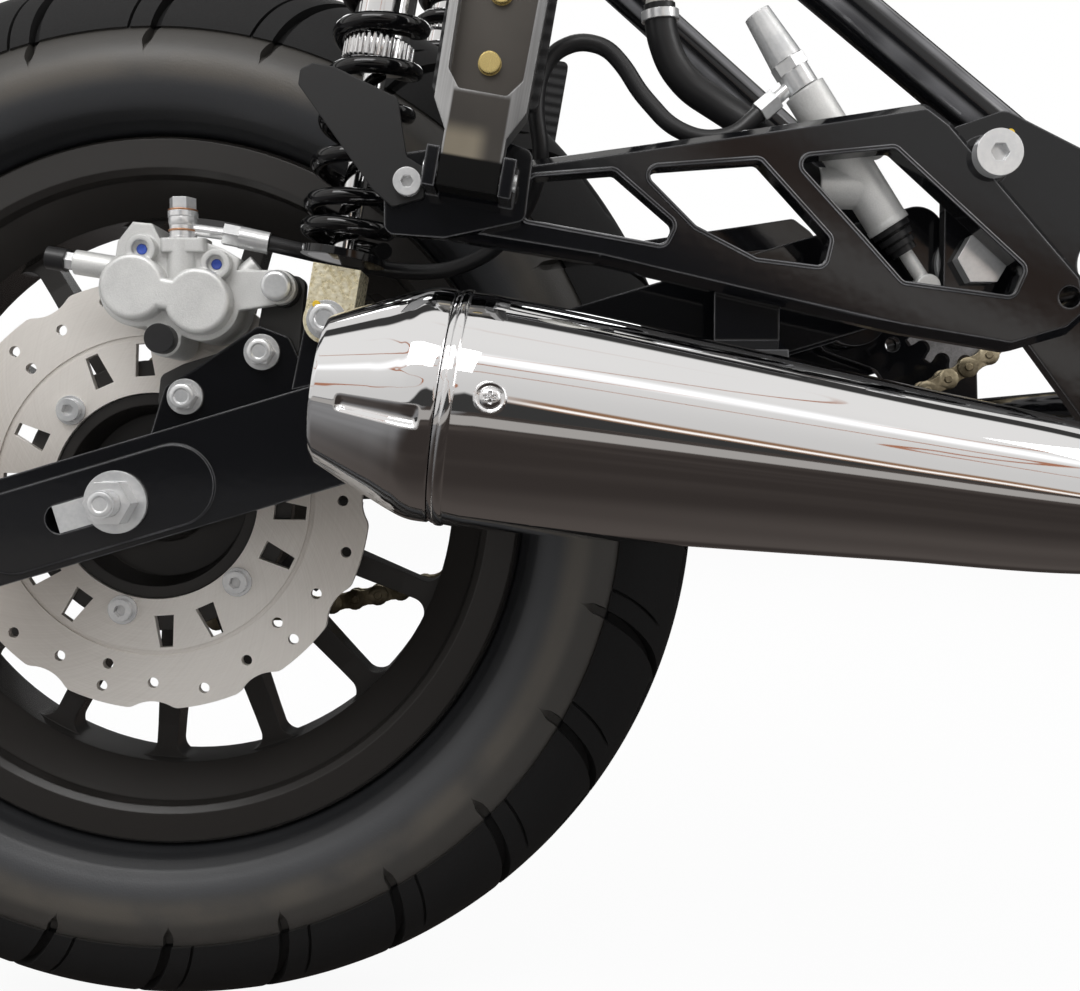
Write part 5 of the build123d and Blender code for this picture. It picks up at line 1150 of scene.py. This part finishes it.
# %% World for each kind of ray
WHITE = (1.0, 1.0, 1.0)
EVEN_LIGHT = 0.62
light_path = sky.node("ShaderNodeLightPath", {}, {}, "Is Camera Ray")
glossy = Wire(tree, light_path.socket.node.outputs["Is Glossy Ray"])
plain = sky.node("ShaderNodeBackground", {}, {"Color": WHITE, "Strength": EVEN_LIGHT})
mirror = sky.node("ShaderNodeBackground", {}, {"Color": lit, "Strength": 1.0})
white = sky.node("ShaderNodeBackground", {}, {"Color": WHITE, "Strength": 1.0})
seen = sky.node("ShaderNodeMixShader", {}, {0: glossy, 1: plain, 2: mirror})
seen = sky.node("ShaderNodeMixShader", {}, {0: light_path, 1: seen, 2: white})
feed(tree.nodes.new("ShaderNodeOutputWorld").inputs["Surface"], seen)
print("world:", len(tree.nodes), "nodes, white to the camera and a room to reflections")

# %% [markdown]
# The floor lies just under the lowest point. To the camera it glows nearly white and still takes a little
# shade. In a reflection it is brown and dark near the machine, and a paler band of it lies further off.
# Real light on a white floor would have to be far too strong for the object, so the white comes from the
# material.

# %% Floor plane
FLOOR_GAP = 0.0005
FLOOR_HALF = 9.0
floor_z = float(CAD_BOX[0][2]) - FLOOR_GAP
corners = [(x * FLOOR_HALF, y * FLOOR_HALF, floor_z) for x, y in ((-1, -1), (1, -1), (1, 1), (-1, 1))]
mesh = bpy.data.meshes.new("studio_floor")
mesh.from_pydata(corners, [], [(0, 1, 2, 3)])
floor = bpy.data.objects.new("studio_floor", mesh)
scene.collection.objects.link(floor)
print("floor at", round(floor_z, 4))

# %% Floor finish
SHADOW_LEFT = 0.07
NEAR_BROWNS = ((0.04, 0.033, 0.03), (0.085, 0.072, 0.065))
SILVERY = (0.3, 0.3, 0.305)
BAND_COLOUR = (0.42, 0.4, 0.38)
material, shader, place = new_finish("pale_floor", {"Base Color": (0.86, 0.86, 0.86), "Roughness": 0.9})
tree = material.node_tree
split = parts_of(place, place, "XY")
path = place.node("ShaderNodeLightPath", {}, {}, "Is Camera Ray")
glossy = Wire(tree, path.socket.node.outputs["Is Glossy Ray"])
glow = place.node("ShaderNodeEmission", {}, {"Color": WHITE, "Strength": 1.0})
far_band = split["Y"].band((-3.9, -3.4), (-1.5, -1.62))
patch = place.noise(1.1, 2.0, (0.5, 2.4, 1.0))
near = patch.ramp(0.35, 0.65).mix(*NEAR_BROWNS)
backwards = split["X"].ramp(-0.62, -1.3)
near = (backwards * (0.35 + 0.65 * patch)).mix(near, SILVERY)
dim = far_band.mix(near, BAND_COLOUR)
dim_glow = place.node("ShaderNodeEmission", {}, {"Color": dim, "Strength": 1.0})
lit_floor = Wire(tree, shader.outputs["BSDF"])
mixed = place.node("ShaderNodeMixShader", {}, {0: path * (1 - SHADOW_LEFT), 1: lit_floor, 2: glow})
mixed = place.node("ShaderNodeMixShader", {}, {0: glossy, 1: mixed, 2: dim_glow})
feed(tree.nodes["Material Output"].inputs["Surface"], mixed)
mesh.materials.append(material)
print("the floor keeps", SHADOW_LEFT, "of its shading for the camera")

# %% [markdown]
# Three large rectangles of light stand above the camera's side, ahead of the machine and on its far side.
# Small lamps would draw hard shadows in among the pieces. Their level is plain, so a colour renders about
# as it is written.

# %% Lamps
def softbox(name, place, aim, width, height, watts):
    """A rectangular lamp at a place in the frame, turned so that it looks at aim."""
    lamp = bpy.data.lights.new(name, "AREA")
    lamp.shape = "RECTANGLE"
    lamp.size = width
    lamp.size_y = height
    lamp.energy = watts
    thing = bpy.data.objects.new(name, lamp)
    thing.location = place
    thing.rotation_euler = (Vector(aim) - Vector(place)).to_track_quat("-Z", "Y").to_euler()
    scene.collection.objects.link(thing)


softbox("upper_box", (-0.9, -1.6, 1.7), (-0.3, 0.0, 0.0), width=1.6, height=0.9, watts=22.0)
softbox("side_box", (1.4, -0.9, 0.9), (-0.2, 0.0, 0.0), width=0.5, height=1.4, watts=7.0)
softbox("rear_box", (-0.6, 1.6, 1.4), (-0.3, 0.0, 0.0), width=1.6, height=1.0, watts=14.0)
print("three soft boxes")

# %% [markdown]
# The camera was placed by fitting the wheel's circle as it appears in the photograph, which is surer than
# turning it by eye. It stands three quarters of a metre from the machine's middle and looks down by less
# than three degrees.

# %% Camera
LENS_MM = 40.0
SENSOR_MM = 36.0
CAMERA_AT = (-0.295, -0.735, -0.013)
CAMERA_TILT = radians(87.3)
lens = bpy.data.cameras.new("photo_lens")
lens.lens = LENS_MM
lens.sensor_width = SENSOR_MM
lens.clip_start = 0.02
camera = bpy.data.objects.new("photo_camera", lens)
camera.location = CAMERA_AT
camera.rotation_euler = (CAMERA_TILT, 0.0, 0.0)
scene.collection.objects.link(camera)
scene.camera = camera
scene.view_settings.view_transform = "Standard"
print("camera", [round(part, 3) for part in camera.location])
